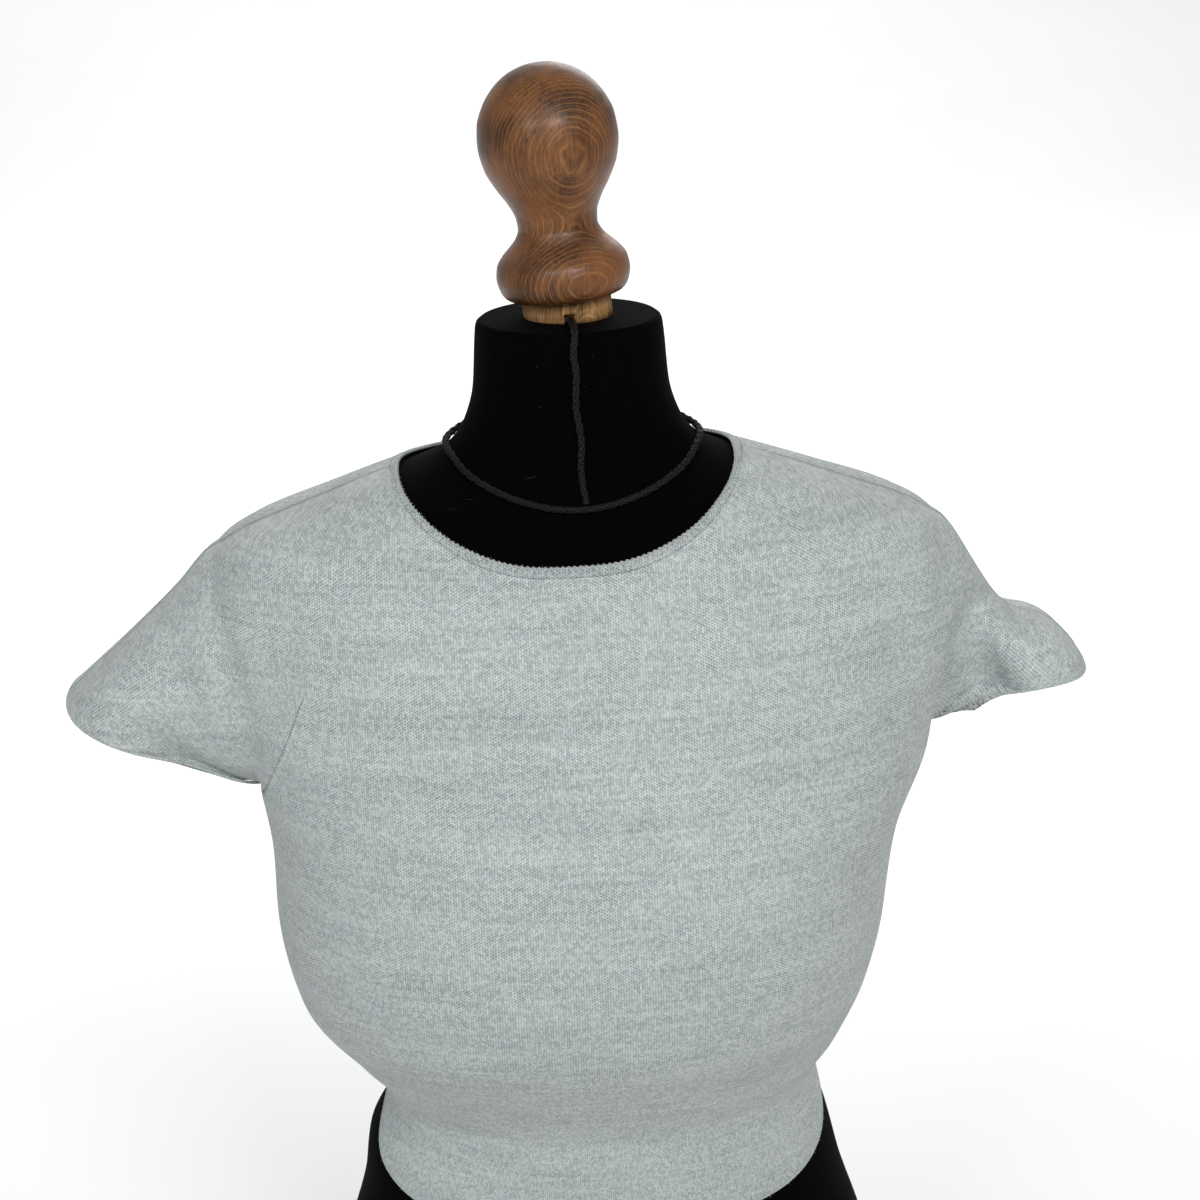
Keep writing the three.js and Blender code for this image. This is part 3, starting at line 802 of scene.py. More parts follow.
@dataclass(frozen=True)
class KnitFinish:
    """Pale silvery grey fine knit: specked stitches, slanting lines, level flecks and a soft sheen."""

    name: str = "silver grey knit"
    light: Shade = (233, 241, 240)
    dark: Shade = (104, 112, 113)
    column: float = 0.0013
    row: float = 0.0015
    bump: float = 0.5

    def make(self) -> Material:
        """Builds the material from the piece's own maps: stitches with painted shade between them, flecks and
        shaded edge lines.
        """
        nodes, shader = principled(self.name)
        place = nodes.cloth()
        knit = nodes.add("Group", {"node_tree": KnitPattern.tree()}, Map=place, Column=self.column,
                         Row=self.row, Step=0.5, Slant=0.6)
        height, speck, twill = (knit.outputs[k] for k in ("Height", "Speck", "Twill"))
        strength = nodes.span(nodes.noise(place, (40, 40, 1)), 0.35, 0.65, 0.35, 1.0)
        lines = nodes.times(twill, strength)
        fleck = nodes.noise(place, (17, 400, 1), 2, 0.6)
        cloud = nodes.noise(place, (9, 60, 1), 2, 0.5)
        grit = nodes.noise(place, (1300, 1300, 1), 1, 0.5)
        # Painted shade: the yarn's height lightens the colour on the loops and darkens it in the gaps between
        # stitches.
        tone = nodes.plus(height, 0.3, 0.26)
        for value, share in ((speck, 0.24), (fleck, 0.28), (cloud, 0.2), (grit, 0.6)):
            tone = nodes.sway(value, share, tone)
        tone = nodes.plus(lines, 0.16, tone)
        tone = nodes.plus(self.edge_shade(nodes), -0.3, tone)
        height = nodes.plus(lines, 0.14, height)
        nodes.fill(shader, Base_Color=palette(self, nodes, tone), Roughness=0.85, Sheen_Weight=0.18,
                   Sheen_Roughness=0.5, Specular_IOR_Level=0.2,
                   Normal=nodes.relief(self.bump, 0.0004, height))
        return bpy.data.materials[self.name]

    def edge_shade(self, nodes: Nodes) -> Socket:
        """Shade in the lines under the neck's band and above the hem, from the edge distances."""
        edge = nodes.add("SeparateXYZ", Vector=nodes.add("UVMap", {"uv_map": "edge"}).outputs[0])
        neck, outer = edge.outputs[:2]
        groove = nodes.times(nodes.math("COMPARE", neck, 0.0041, 0.0005), 0.6)
        band = nodes.span(neck, 0.0022, 0.0034, 0.45, 0.0)
        rim = nodes.span(outer, 0.0004, 0.0016, 0.12, 0.0)
        return nodes.math("ADD", nodes.math("MAXIMUM", groove, band), rim)


@dataclass(frozen=True)
class ThreadFinish:
    """Matt spun thread with a fine twist along it."""

    name: str = "overlock thread"
    light: Shade = (206, 212, 211)
    dark: Shade = (150, 157, 158)
    twist: float = 0.0007

    def make(self) -> Material:
        """Builds the material: slanting bands of painted light and shade along the thread's twist, the same
        bands that give its relief.
        """
        nodes, shader = principled(self.name)
        place = nodes.cloth()
        split = nodes.add("SeparateXYZ", Vector=place)
        turn = nodes.plus(split.outputs[0], TURN / self.twist, nodes.times(split.outputs[1], MM))
        band = nodes.plus(nodes.math("SINE", turn), 0.35, 0.5)
        # Painted light and shade: the twist's bands, which also make the relief, run light and dark in the
        # colour.
        tone = nodes.sway(nodes.noise(place, (600, 1, 1)), 0.5, band)
        nodes.fill(shader, Base_Color=palette(self, nodes, tone), Roughness=0.85, Sheen_Weight=0.3,
                   Normal=nodes.relief(0.4, 0.0001, band))
        return bpy.data.materials[self.name]


@dataclass(frozen=True)
class JerseyFinish:
    """Black stretched jersey: very fine columns of stitches, a little lint and a soft grey sheen."""

    name: str = "black jersey"
    light: Shade = (5, 5, 6)
    dark: Shade = (1, 1, 1)
    lint: Shade = (110, 112, 112)
    column: float = 0.0008
    row: float = 0.0007

    def make(self) -> Material:
        """Builds the material from the piece's own map: fine stitches with painted shade between them, cloudy
        nap and lint specks.
        """
        nodes, shader = principled(self.name)
        place = nodes.cloth()
        knit = nodes.add("Group", {"node_tree": KnitPattern.tree()}, Map=place, Column=self.column,
                         Row=self.row, Step=0.0, Slant=0.5)
        nap = nodes.noise(place, (120, 120, 1), 3, 0.6)
        lint = nodes.span(nodes.noise(place, (420, 420, 1), 1, 0.4), 0.79, 0.83)
        # Painted shade: the stitches' height lightens the colour on the loops and darkens it in the gaps
        # between them.
        tone = nodes.plus(knit.outputs["Height"], 0.4, nodes.times(nap, 0.6))
        base = nodes.mix(nodes.times(lint, 0.35), palette(self, nodes, tone), colour(*self.lint))
        height = nodes.plus(nap, 0.6, knit.outputs["Height"])
        nodes.fill(shader, Base_Color=base, Roughness=0.9, Sheen_Weight=0.002, Sheen_Roughness=0.5,
                   Specular_IOR_Level=0.03, Normal=nodes.relief(0.3, 0.0003, height))
        return bpy.data.materials[self.name]


@dataclass(frozen=True)
class BraidFinish:
    """Black polished braid whose strands catch a little light."""

    name: str = "black braid"
    light: Shade = (13, 13, 14)
    dark: Shade = (1, 1, 1)

    def make(self) -> Material:
        """Builds the material: fine filaments along each strand."""
        nodes, shader = principled(self.name)
        place = nodes.cloth()
        filament = nodes.noise(place, (900, 3000, 1), 2, 0.6)
        nodes.fill(shader, Base_Color=palette(self, nodes, filament), Specular_IOR_Level=0.3,
                   Roughness=nodes.span(filament, 0.2, 0.8, 0.4, 0.75),
                   Normal=nodes.relief(0.4, 0.0001, filament))
        return bpy.data.materials[self.name]


@dataclass(frozen=True)
class WoodFinish:
    """Flat-sawn wood: rings cut as ovals on the front, drawn as thin lines, and dark pores."""

    name: str
    base: Shade
    shade: Shade
    line: Shade
    pore: Shade
    roughness: float
    coat: float
    ring: float
    streaks: float
    facing: Triple = (-0.3, 0.94, 0.14)

    def make(self) -> Material:
        """Builds the material on the piece's own coordinates: growth rings by depth, and pores."""
        nodes, shader = principled(self.name)
        place = nodes.add("TexCoord").outputs["Object"]
        away = nodes.add("VectorMath", {"operation": "DOT_PRODUCT"})
        nodes.join(away, 0, place)
        nodes.join(away, 1, self.facing)
        sway = nodes.noise(place, (17, 17, 10), 2, 0.5)
        wander = nodes.noise(place, (110, 110, 45), 2, 0.55)
        depth = nodes.plus(sway, 0.011, away.outputs["Value"])
        depth = nodes.plus(wander, 0.0012, depth)
        turn = nodes.math("DIVIDE", depth, self.ring)
        late = nodes.span(nodes.math("PINGPONG", turn, 0.5), 0.36, 0.5)
        finer = nodes.math("PINGPONG", nodes.times(turn, 2.37), 0.5)
        small = nodes.span(finer, 0.3, 0.5, 0.0, 0.45)
        broken = nodes.span(nodes.noise(place, (60, 60, 60), 3, 0.7), 0.3, 0.62, 0.25, 1.0)
        lines = nodes.times(nodes.math("MAXIMUM", late, small), broken)
        streak = nodes.noise(place, (620, 620, 30), 3, 0.7)
        pores = nodes.span(nodes.noise(place, (1500, 1500, 80), 2, 0.6), 0.58, 0.7)
        cloud = nodes.span(nodes.noise(place, (30, 30, 24), 3, 0.6), 0.32, 0.68)
        tone = nodes.sway(streak, self.streaks, cloud)
        base = nodes.mix(tone, colour(*self.shade), colour(*self.base))
        base = nodes.mix(nodes.times(lines, 0.62), base, colour(*self.line))
        base = nodes.mix(nodes.times(pores, 0.6), base, colour(*self.pore))
        height = nodes.plus(pores, -0.8, nodes.times(streak, 0.5))
        height = nodes.plus(lines, 0.3, height)
        worn = nodes.span(streak, 0.25, 0.75, self.roughness - 0.08, self.roughness + 0.12)
        nodes.fill(shader, Base_Color=base, Roughness=worn, Coat_Weight=self.coat, Coat_Roughness=0.3,
                   Specular_IOR_Level=0.3, Normal=nodes.relief(0.35, 0.0004, height))
        return bpy.data.materials[self.name]


@dataclass(frozen=True)
class FloorFinish:
    """Plain pale studio paper."""

    name: str = "studio paper"

    def make(self) -> Material:
        """Builds the material: near white with a trace of unevenness."""
        nodes, shader = principled(self.name)
        place = nodes.add("TexCoord").outputs["Object"]
        base = nodes.mix(nodes.noise(place, (3, 3, 3)), (0.9, 0.9, 0.9, 1), (0.94, 0.94, 0.94, 1))
        nodes.fill(shader, Base_Color=base, Roughness=0.95)
        return bpy.data.materials[self.name]


@dataclass
class KnitPanel:
    """One panel of the top with its two sleeve halves: a thin closed shell on the frame's panel."""

    face: Face
    shape: TopShape
    creases: tuple[Crease, ...]
    columns: int = 250
    rows: int = 110
    fine_rows: int = 14
    fine_step: float = 0.5
    band: float = 3.8
    band_lift: float = 0.4

    def lines(self) -> tuple[Array, Array]:
        """The grid's two parameters. Rows beside the neckline lie at even distances from it, and
        the others are spread evenly over what is left of each line, a little closer at its end.

        Returns:
            Grids of the place across and the place down each line.
        """
        across = np.linspace(-1, 1, self.columns + 1)
        coarse = np.linspace(0, 1, 41)
        a, e = np.meshgrid(across, coarse)
        grid = self.shape.point(a, e, self.face)
        step = np.linalg.norm(np.diff(grid, axis=0), axis=-1)
        fine = np.arange(self.fine_rows)[:, None] * self.fine_step / (step[0] * (len(coarse) - 1))[None]
        t = np.linspace(0, 1, self.rows - self.fine_rows + 1)[1:, None]
        t = t + 0.35 * np.sin(np.pi * t) / np.pi * t
        rest = fine[-1] + (1 - fine[-1]) * np.minimum(t, 1)
        even = np.concatenate([fine, rest])
        return np.broadcast_to(across, even.shape), even

    def middle(self) -> tuple[Array, Array, Array]:
        """The middle surface with its creases, its outward directions and its edge distances.

        Returns:
            Grids of points, of directions and of distances from the neckline and the outer edge.
        """
        a, e = self.lines()
        x, z = self.shape.place(a, e, self.face)
        grid = self.shape.surface(x, z, self.face)
        normals = surface_normals(grid) * self.face.value
        flat = np.abs(np.abs(a) - 1) < 1e-6
        seam = (np.abs(a) > self.shape.hem_share - 1e-6) & (np.abs(a) < self.shape.side_share + 1e-6)
        flat |= seam & (e > 1 - 1e-6)
        normals[..., 1] = np.where(flat, 0, normals[..., 1])
        normals = unit(normals)
        lift = sum((c.lift(x, z) for c in self.creases if c.face is self.face), np.zeros_like(x))
        gap = np.abs(grid[..., 1] - self.shape.form.middle(z))
        lift = lift * smoothstep(gap, 2, 16)
        from_neck = travelled(grid)
        edges = np.stack([from_neck, from_neck[-1:] - from_neck], -1)
        lift = lift * smoothstep(from_neck, 2, 25)
        lift = lift + self.band_lift * (1 - smoothstep(from_neck, self.band - 0.9, self.band))
        lift = lift - 0.35 * bump(from_neck, self.band + 0.3, 0.5)
        return grid + normals * lift[..., None], normals, edges

    def solid(self) -> Solid:
        """The wall: the middle surface moved out by the ease, and by the ease and the wall."""
        grid, normals, edges = self.middle()
        outer = grid + normals * (self.shape.ease + self.shape.wall)
        inner = grid + normals * self.shape.ease
        rows, columns = grid.shape[:2]
        front = self.face is Face.FRONT
        ring = border(rows, columns)
        after = np.roll(ring, -1)
        count = rows * columns
        rim = np.stack([after, ring, ring + count, after + count], -1)
        faces = [grid_faces(rows, columns, flip=front), grid_faces(rows, columns, flip=not front) + count,
                 rim[:, ::-1] if front else rim]
        x, z = grid[..., 0], grid[..., 2]
        maps = np.stack([self.shape.across_cloth(x, z, self.face), self.shape.down_cloth(z, self.face)], -1)
        solid = Solid()
        solid.add(np.stack([outer, inner]), faces, np.stack([maps, maps]), np.stack([edges, edges]))
        return solid

    def edge(self, across: Array, even: Array, out: float) -> tuple[Array, Array, Array]:
        """Points along a line on the panel with their frames, moved out from the middle surface.

        Args:
            across: places across the panel.
            even: places between the neckline and the outer edge.
            out: how far out the points lie.

        Returns:
            Points, outward directions, and directions away from the neckline along the cloth.
        """
        step = 1e-3
        low, high = np.clip(even - step, 0, 1), np.clip(even + step, 0, 1)
        left, right = np.clip(across - step, -1, 1), np.clip(across + step, -1, 1)
        point, face = self.shape.point, self.face
        down = point(across, high, face) - point(across, low, face)
        along = unit(point(right, even, face) - point(left, even, face))
        normal = unit(np.cross(along, unit(down))) * face.value
        below = unit(down - (down * along).sum(-1, keepdims=True) * along)
        return point(across, even, face) + normal * out, normal, below


def resample(points: Array, extras: Sequence[Array], spacing: float, closed: bool) -> list[Array]:
    """Points evenly spaced along a line, with other values carried along.

    Args:
        points: the line.
        extras: more values at each point.
        spacing: wanted distance between points.
        closed: whether the line runs back to its start.

    Returns:
        The points and the extras at even steps.
    """
    rows = [points, *extras]
    if closed:
        rows = [np.concatenate([r, r[:1]]) for r in rows]
    run = travelled(rows[0])
    count = max(int(round(run[-1] / spacing)), 4)
    at = np.linspace(0, run[-1], count, endpoint=not closed)
    return [np.stack([np.interp(at, run, r[:, k]) for k in range(r.shape[1])], -1) for r in rows]


@dataclass
class CropTop:
    """The knitted top: two panels, their seams, the overlocked neck and the rolled cuffs and hem."""

    place: Place
    shape: TopShape = field(default_factory=TopShape)
    loop: float = 2.9
    loop_reach: float = 3.7
    loop_points: int = 10
    stitch_row: float = 4.1
    thread: float = 0.24
    stitch_thread: float = 0.27
    spacing: float = 1.6
    hem_radius: float = 0.95
    cuff_radius: float = 0.85
    seam_radius: float = 0.95
    seam_end: float = 0.5
    seam_spacing: float = 2.0
    creases: tuple[Crease, ...] = (
        Crease(Face.FRONT, (-189, 570), (-168, 452), 7, -2.6, -4),
        Crease(Face.FRONT, (-206, 556), (-186, 470), 8, 2.2, -5),
        Crease(Face.FRONT, (-236, 512), (-172, 448), 9, -5.0, 7),
        Crease(Face.FRONT, (-262, 520), (-214, 500), 8, 1.6),
        Crease(Face.FRONT, (197, 536), (192, 466), 6, -5.0, 3),
        Crease(Face.FRONT, (201, 540), (212, 462), 13, -14.0, 2),
        Crease(Face.FRONT, (206, 540), (236, 492), 8, 3.0, -3),
        Crease(Face.FRONT, (40, 594), (58, 560), 6, 1.1, 3),
        Crease(Face.FRONT, (52, 590), (72, 562), 6, -0.8, 3),
        Crease(Face.FRONT, (-120, 318), (-40, 286), 9, -1.3, 5),
        Crease(Face.FRONT, (118, 316), (44, 288), 9, -1.5, -5),
        Crease(Face.FRONT, (104, 262), (72, 226), 6, 0.9),
        Crease(Face.FRONT, (-60, 300), (50, 296), 8, -0.8, 4),
        Crease(Face.BACK, (-256, 500), (-160, 470), 10, -2.4, 4),
        Crease(Face.BACK, (-200, 470), (-130, 420), 9, -1.2),
        Crease(Face.BACK, (250, 495), (165, 476), 9, -2.2, -4),
        Crease(Face.BACK, (205, 480), (130, 425), 9, -1.4),
        Crease(Face.BACK, (-110, 300), (-30, 272), 10, -1.8, 5),
        Crease(Face.BACK, (112, 296), (34, 276), 9, -1.5, -5),
        Crease(Face.BACK, (-40, 292), (50, 284), 11, 1.2, 3),
    )

    def build(self) -> None:
        """Makes every piece of the top."""
        knit, thread = KnitFinish().make(), ThreadFinish().make()
        panels = [KnitPanel(face, self.shape, self.creases) for face in Face]
        for panel, node in zip(panels, ("top_front", "top_back")):
            panel.solid().build(node + "_knit", self.place, knit, "knit", (node,))
        trims = [
            self.neck_edge(panels).build("neck_rolled_edge", self.place, knit, "knit"),
            self.neck_loops(panels).build("neck_overlock", self.place, thread, "knit"),
            self.seams().build("shoulder_and_side_seams", self.place, knit, "knit"),
            self.edges(panels).build("cuff_and_hem_edges", self.place, knit, "knit"),
        ]

    def round_edge(self, panels: Sequence[KnitPanel], ways: Sequence[Array], even: float,
                   spacing: float) -> list[Array]:
        """An edge of both panels as one closed line, with outward and downward directions.

        Args:
            panels: the front and the back.
            ways: places across each panel, so that the second way leads back to the first's start.
            even: 0 for the neckline or 1 for the outer edge.
            spacing: distance between points.

        Returns:
            Points, outward directions and directions away from the neckline.
        """
        out = self.shape.ease + self.shape.wall / 2
        runs = [panel.edge(way, np.full_like(way, even), out) for panel, way in zip(panels, ways)]
        line, *others = [np.concatenate(pair) for pair in zip(*runs)]
        line, normal, below = resample(line, others, spacing, closed=True)
        return [line, unit(normal), unit(below)]

    def neck_line(self, panels: Sequence[KnitPanel], spacing: float) -> list[Array]:
        """The whole neckline as one closed line, with outward and downward directions."""
        across = np.linspace(-1, 1, 400)[:-1]
        return self.round_edge(panels, (across, -across), 0.0, spacing)

    def neck_edge(self, panels: Sequence[KnitPanel]) -> Solid:
        """The neck's rolled edge: a round profile a little thicker than the wall."""
        line, normal, _ = self.neck_line(panels, self.spacing)
        solid = Solid()
        tubes(solid, line, normal, self.hem_radius, 8, closed=True)
        return solid

    def neck_loops(self, panels: Sequence[KnitPanel]) -> Solid:
        """Overlock thread: loops over the edge, and a row of short stitches below them.

        Each loop runs down from the edge and back in one wave, and leans as it goes. The stitches
        are short rods, one to a loop.
        """
        per_loop = self.loop_points
        line, normal, below = self.neck_line(panels, self.loop / per_loop)
        run = heading(line, closed=True)
        phase = np.arange(len(line)) / per_loop * TURN
        wave = (1 - np.cos(phase)) / 2
        beats = np.arange(0, len(line) + per_loop, per_loop)
        sizes = np.random.default_rng(7).uniform(0.82, 1.18, len(beats))
        uneven = np.interp(np.arange(len(line)), beats, sizes)
        solid = Solid()
        deep = (self.loop_reach * wave * uneven - 1.0)[:, None]
        out = (1.05 - 0.8 * np.cos(phase) * (wave < 0.35))[:, None] * 0.9 + 0.1
        lean = (0.55 * np.sin(phase))[:, None]
        tubes(solid, line + below * deep + normal * out + run * lean, normal, self.thread, 5, closed=True)
        purl = (-0.9 + 0.5 * np.sin(phase))[:, None]
        over = (0.7 * np.cos(phase))[:, None]
        tubes(solid, line + below * purl + normal * over, normal, self.thread, 5, closed=True)
        starts = np.arange(0, len(line) - per_loop, per_loop)
        steps = np.linspace(0.12, 0.88, 6) * per_loop
        picks = starts[:, None] + np.round(steps).astype(int)[None]
        arch = np.sin(np.linspace(0, np.pi, 6))[None, :, None]
        self.fuzz(solid, line[::4], normal[::4], -below[::4], 3)
        rods = line[picks] + below[picks] * self.stitch_row + normal[picks] * (0.55 + 0.4 * arch)
        tubes(solid, rods, normal[picks], self.stitch_thread * np.array([0.4, 1, 1, 1, 1, 0.4]), 5)
        return solid

    def fuzz(self, solid: Solid, line: Array, normal: Array, outward: Array, seed: int) -> None:
        """Adds fine fibres that stand off an edge: thin three-sided hairs, uneven in length and lean.

        Args:
            solid: takes the fibres.
            line: points along the edge, one fibre for each.
            normal: outward directions of the cloth.
            outward: directions off the edge.
            seed: starts the random numbers.
        """
        rng = np.random.default_rng(seed)
        count = len(line)
        run = heading(line, closed=True)
        lean = rng.normal(0, 0.7, (count, 1)) * run + rng.normal(0.2, 0.5, (count, 1)) * normal
        way = unit(outward + lean)
        curl = rng.normal(0, 0.35, (count, 1)) * run
        length = rng.uniform(0.7, 2.0, (count, 1))
        t = np.linspace(0, 1, 4)[None, :, None]
        start = line + outward * 0.5 + run * rng.uniform(-0.5, 0.5, (count, 1))
        paths = start[:, None] + way[:, None] * length[:, None] * t + curl[:, None] * t**2
        tubes(solid, paths, np.broadcast_to(normal[:, None], paths.shape) + 0.01,
              np.array([0.11, 0.09, 0.07, 0.03]), 3)

    def seams(self) -> Solid:
        """Shoulder and side seams: slim ridges half sunk where the two panels meet."""
        solid = Solid()
        out = self.shape.ease + self.shape.wall * 0.62
        even = np.linspace(0, 1, 160)
        up = np.linspace(self.shape.hem_share, self.shape.side_share, 160)
        for sign in (-1.0, 1.0):
            for across, rows in ((sign * np.ones_like(even), even), (sign * up, np.ones_like(up))):
                x, z = self.shape.place(across, rows, Face.FRONT)
                line = np.stack([x, self.shape.form.middle(z), z], -1)
                outward = unit(np.cross(heading(line, closed=False), np.array([0.0, 1.0, 0.0]))) * sign
                outward = np.where(outward[:, :1] * sign + outward[:, 2:] < 0, -outward, outward)
                line = line + outward * out
                line, outward = resample(line, [outward], self.seam_spacing, closed=False)
                size = np.full(len(line), self.seam_radius)
                size[[0, -1]] = self.seam_end
                tubes(solid, line, outward, size, 8)
        return solid

    def edges(self, panels: Sequence[KnitPanel]) -> Solid:
        """Cuffs and hem: round rolled edges a little thicker than the wall, with loose fibres."""
        solid = Solid()
        side, hem = self.shape.side_share, self.shape.hem_share
        cuff = self.cuff_radius
        for start, end, size in ((-side, -1.0, cuff), (side, 1.0, cuff), (-hem, hem, self.hem_radius)):
            across = np.linspace(start, end, 160)
            ways = (across, across[::-1][1:-1])
            line, normal, below = self.round_edge(panels, ways, 1.0, self.spacing)
            tubes(solid, line, normal, size, 8, closed=True)
            self.fuzz(solid, line, normal, below, len(line))
        return solid


@dataclass
class DressForm:
    """The limbless form: a body covered in black jersey, a raw wood tenon and a turned knob."""

    place: Place
    shape: FormShape = field(default_factory=FormShape)
    sides: int = 220
    rows: int = 300
    rim_levels: Table = (1.0, 2.5, 684.0, 686.0, 687.0, 688.6, 689.4, 690.0)
    lean: float = 4.3
    tenon_radius: float = 22.5
    tenon_height: float = 11.0
    notch_half: float = 3.0
    notch_height: float = 5.0
    notch_depth: float = 5.0
    seat: float = 0.3
    knob_sides: int = 96
    knob_levels: Table = (
        11.3, 12.5, 16, 22, 28, 33, 37, 41, 46, 51.5, 58, 67, 77, 88, 98, 107, 115, 121, 124.2, 125)
    knob_radii: Table = (
        27.5, 30, 32.3, 33.6, 32.7, 29.4, 25.4, 21.9, 19.9, 20.4, 23, 28.4, 33, 34.8, 33.9, 30.4, 24.6,
        17.2, 9.5, 6)

    def build(self) -> None:
        """Makes the body, the tenon and the knob."""
        self.body().build("dress_form", self.place, JerseyFinish().make(), "jersey", ("form_body",))
        varnished = WoodFinish(name="varnished knob wood", base=(122, 76, 40), shade=(54, 30, 14),
                               line=(162, 112, 62), pore=(30, 16, 8), roughness=0.45, coat=0.22,
                               ring=0.0021, streaks=1.5)
        raw = WoodFinish(name="raw tenon wood", base=(176, 132, 84), shade=(84, 56, 28),
                         line=(206, 168, 120), pore=(52, 34, 18), roughness=0.8, coat=0.0,
                         ring=0.0016, streaks=2.2)
        self.knob().build("turned_knob", self.place, varnished.make(), "varnished_wood", ("neck_knob",))
        self.tenon().build("wooden_tenon", self.place, raw.make(), "raw_wood", ("knob_tenon",))

    def body(self) -> Solid:
        """The body: the form's surface by angle and height, closed by a flat fan at each end."""
        turn = np.arange(self.sides) / self.sides * TURN
        turn = turn - 0.2 * np.sin(2 * turn)
        z = np.linspace(0, 1, self.rows + 1)
        z = self.shape.height * (z + 0.3 * np.sin(TURN * z) / (TURN) * z)
        z = np.sort(np.concatenate([z[:-1], self.rim_levels]))
        angle, level = np.meshgrid(turn, z)
        grid = self.shape.point(angle, level)
        solid = Solid()
        around = np.cumsum(np.linalg.norm(np.diff(grid, axis=1, append=grid[:, :1]), axis=-1), 1)
        maps = np.stack([around, level], -1)
        solid.add(grid, [grid_faces(len(z), self.sides, closed=True)], maps)
        shares = np.array([1.0, 0.85, 0.6, 0.3, 0.05])[:, None, None]
        for rim, up in ((grid[0], False), (grid[-1], True)):
            middle = rim.mean(0)
            disc = middle + (rim - middle) * shares
            solid.add(disc, [grid_faces(5, self.sides, closed=True, flip=not up),
                             (4 * self.sides + np.arange(self.sides))[None, ::1 if up else -1]],
                      disc[..., :2])
        return solid

    def leaned(self, points: Array) -> Array:
        """Turns points about the neck's top, so that the knob leans to the viewer's left."""
        angle = np.radians(-self.lean)
        x, y, z = points[..., 0], points[..., 1], points[..., 2]
        across = x * np.cos(angle) + z * np.sin(angle)
        upward = z * np.cos(angle) - x * np.sin(angle)
        return np.stack([across, y, upward + self.shape.height], -1)

    def turned(self, radius: Array, turn: Array, level: Array) -> Array:
        """Rings of points about the axis, by radius, angle and height."""
        return np.stack([radius * np.cos(turn), radius * np.sin(turn), level[:, None] + 0 * turn], -1)

    def closed(self, grid: Array) -> Solid:
        """A stack of rings closed by one flat face at each end."""
        rows, sides = grid.shape[:2]
        ring = np.arange(sides)[None]
        solid = Solid()
        solid.add(grid, [grid_faces(rows, sides, closed=True), ring[:, ::-1], (rows - 1) * sides + ring])
        return solid

    def knob(self) -> Solid:
        """The knob: its profile turned round its own axis, closed at its foot and its small flat top."""
        profile = Curve(self.knob_levels, self.knob_radii)
        z = np.concatenate([np.linspace(self.knob_levels[0], self.knob_levels[-2], 130), [124.5, 124.8, 125]])
        r = profile(z)
        z = np.concatenate([[z[0]] * 3, z, [z[-1]] * 3])
        r = np.concatenate([[0.4, 12, 24], r, [5, 3, 0.4]])
        turn = np.arange(self.knob_sides) / self.knob_sides * TURN
        return self.closed(self.leaned(self.turned(r[:, None], turn, z)))

    def tenon(self) -> Solid:
        """The tenon: a leaning rod sawn level on the neck, with a notch cut into its front.

        The radius is even all round, and between the notch's walls, below its roof, it is what
        reaches the notch's flat back.
        """
        half = np.arcsin(self.notch_half / self.tenon_radius)
        front = -QUARTER
        rest = np.linspace(front + half, front - half + TURN, 84)
        notch = np.linspace(front - half, front + half, 9)
        turn = np.concatenate([rest, notch])
        inside = np.concatenate([np.zeros(len(rest), bool), np.ones(len(notch), bool)])
        cut = (self.tenon_radius - self.notch_depth) / np.maximum(-np.sin(turn), 0.2)
        level = np.array([self.seat, 2.0, 3.5, self.notch_height, self.notch_height, 6.5, 8.5, 10.4,
                          self.tenon_height])
        open_row = np.arange(len(level)) <= 3
        radius = np.where(inside[None] & open_row[:, None], cut[None], self.tenon_radius)
        radius = radius - np.where(np.arange(len(level)) == len(level) - 1, 0.5, 0)[:, None]
        grid = self.leaned(self.turned(radius, turn, level))
        grid[0, :, 2] = self.shape.height + self.seat
        return self.closed(grid)


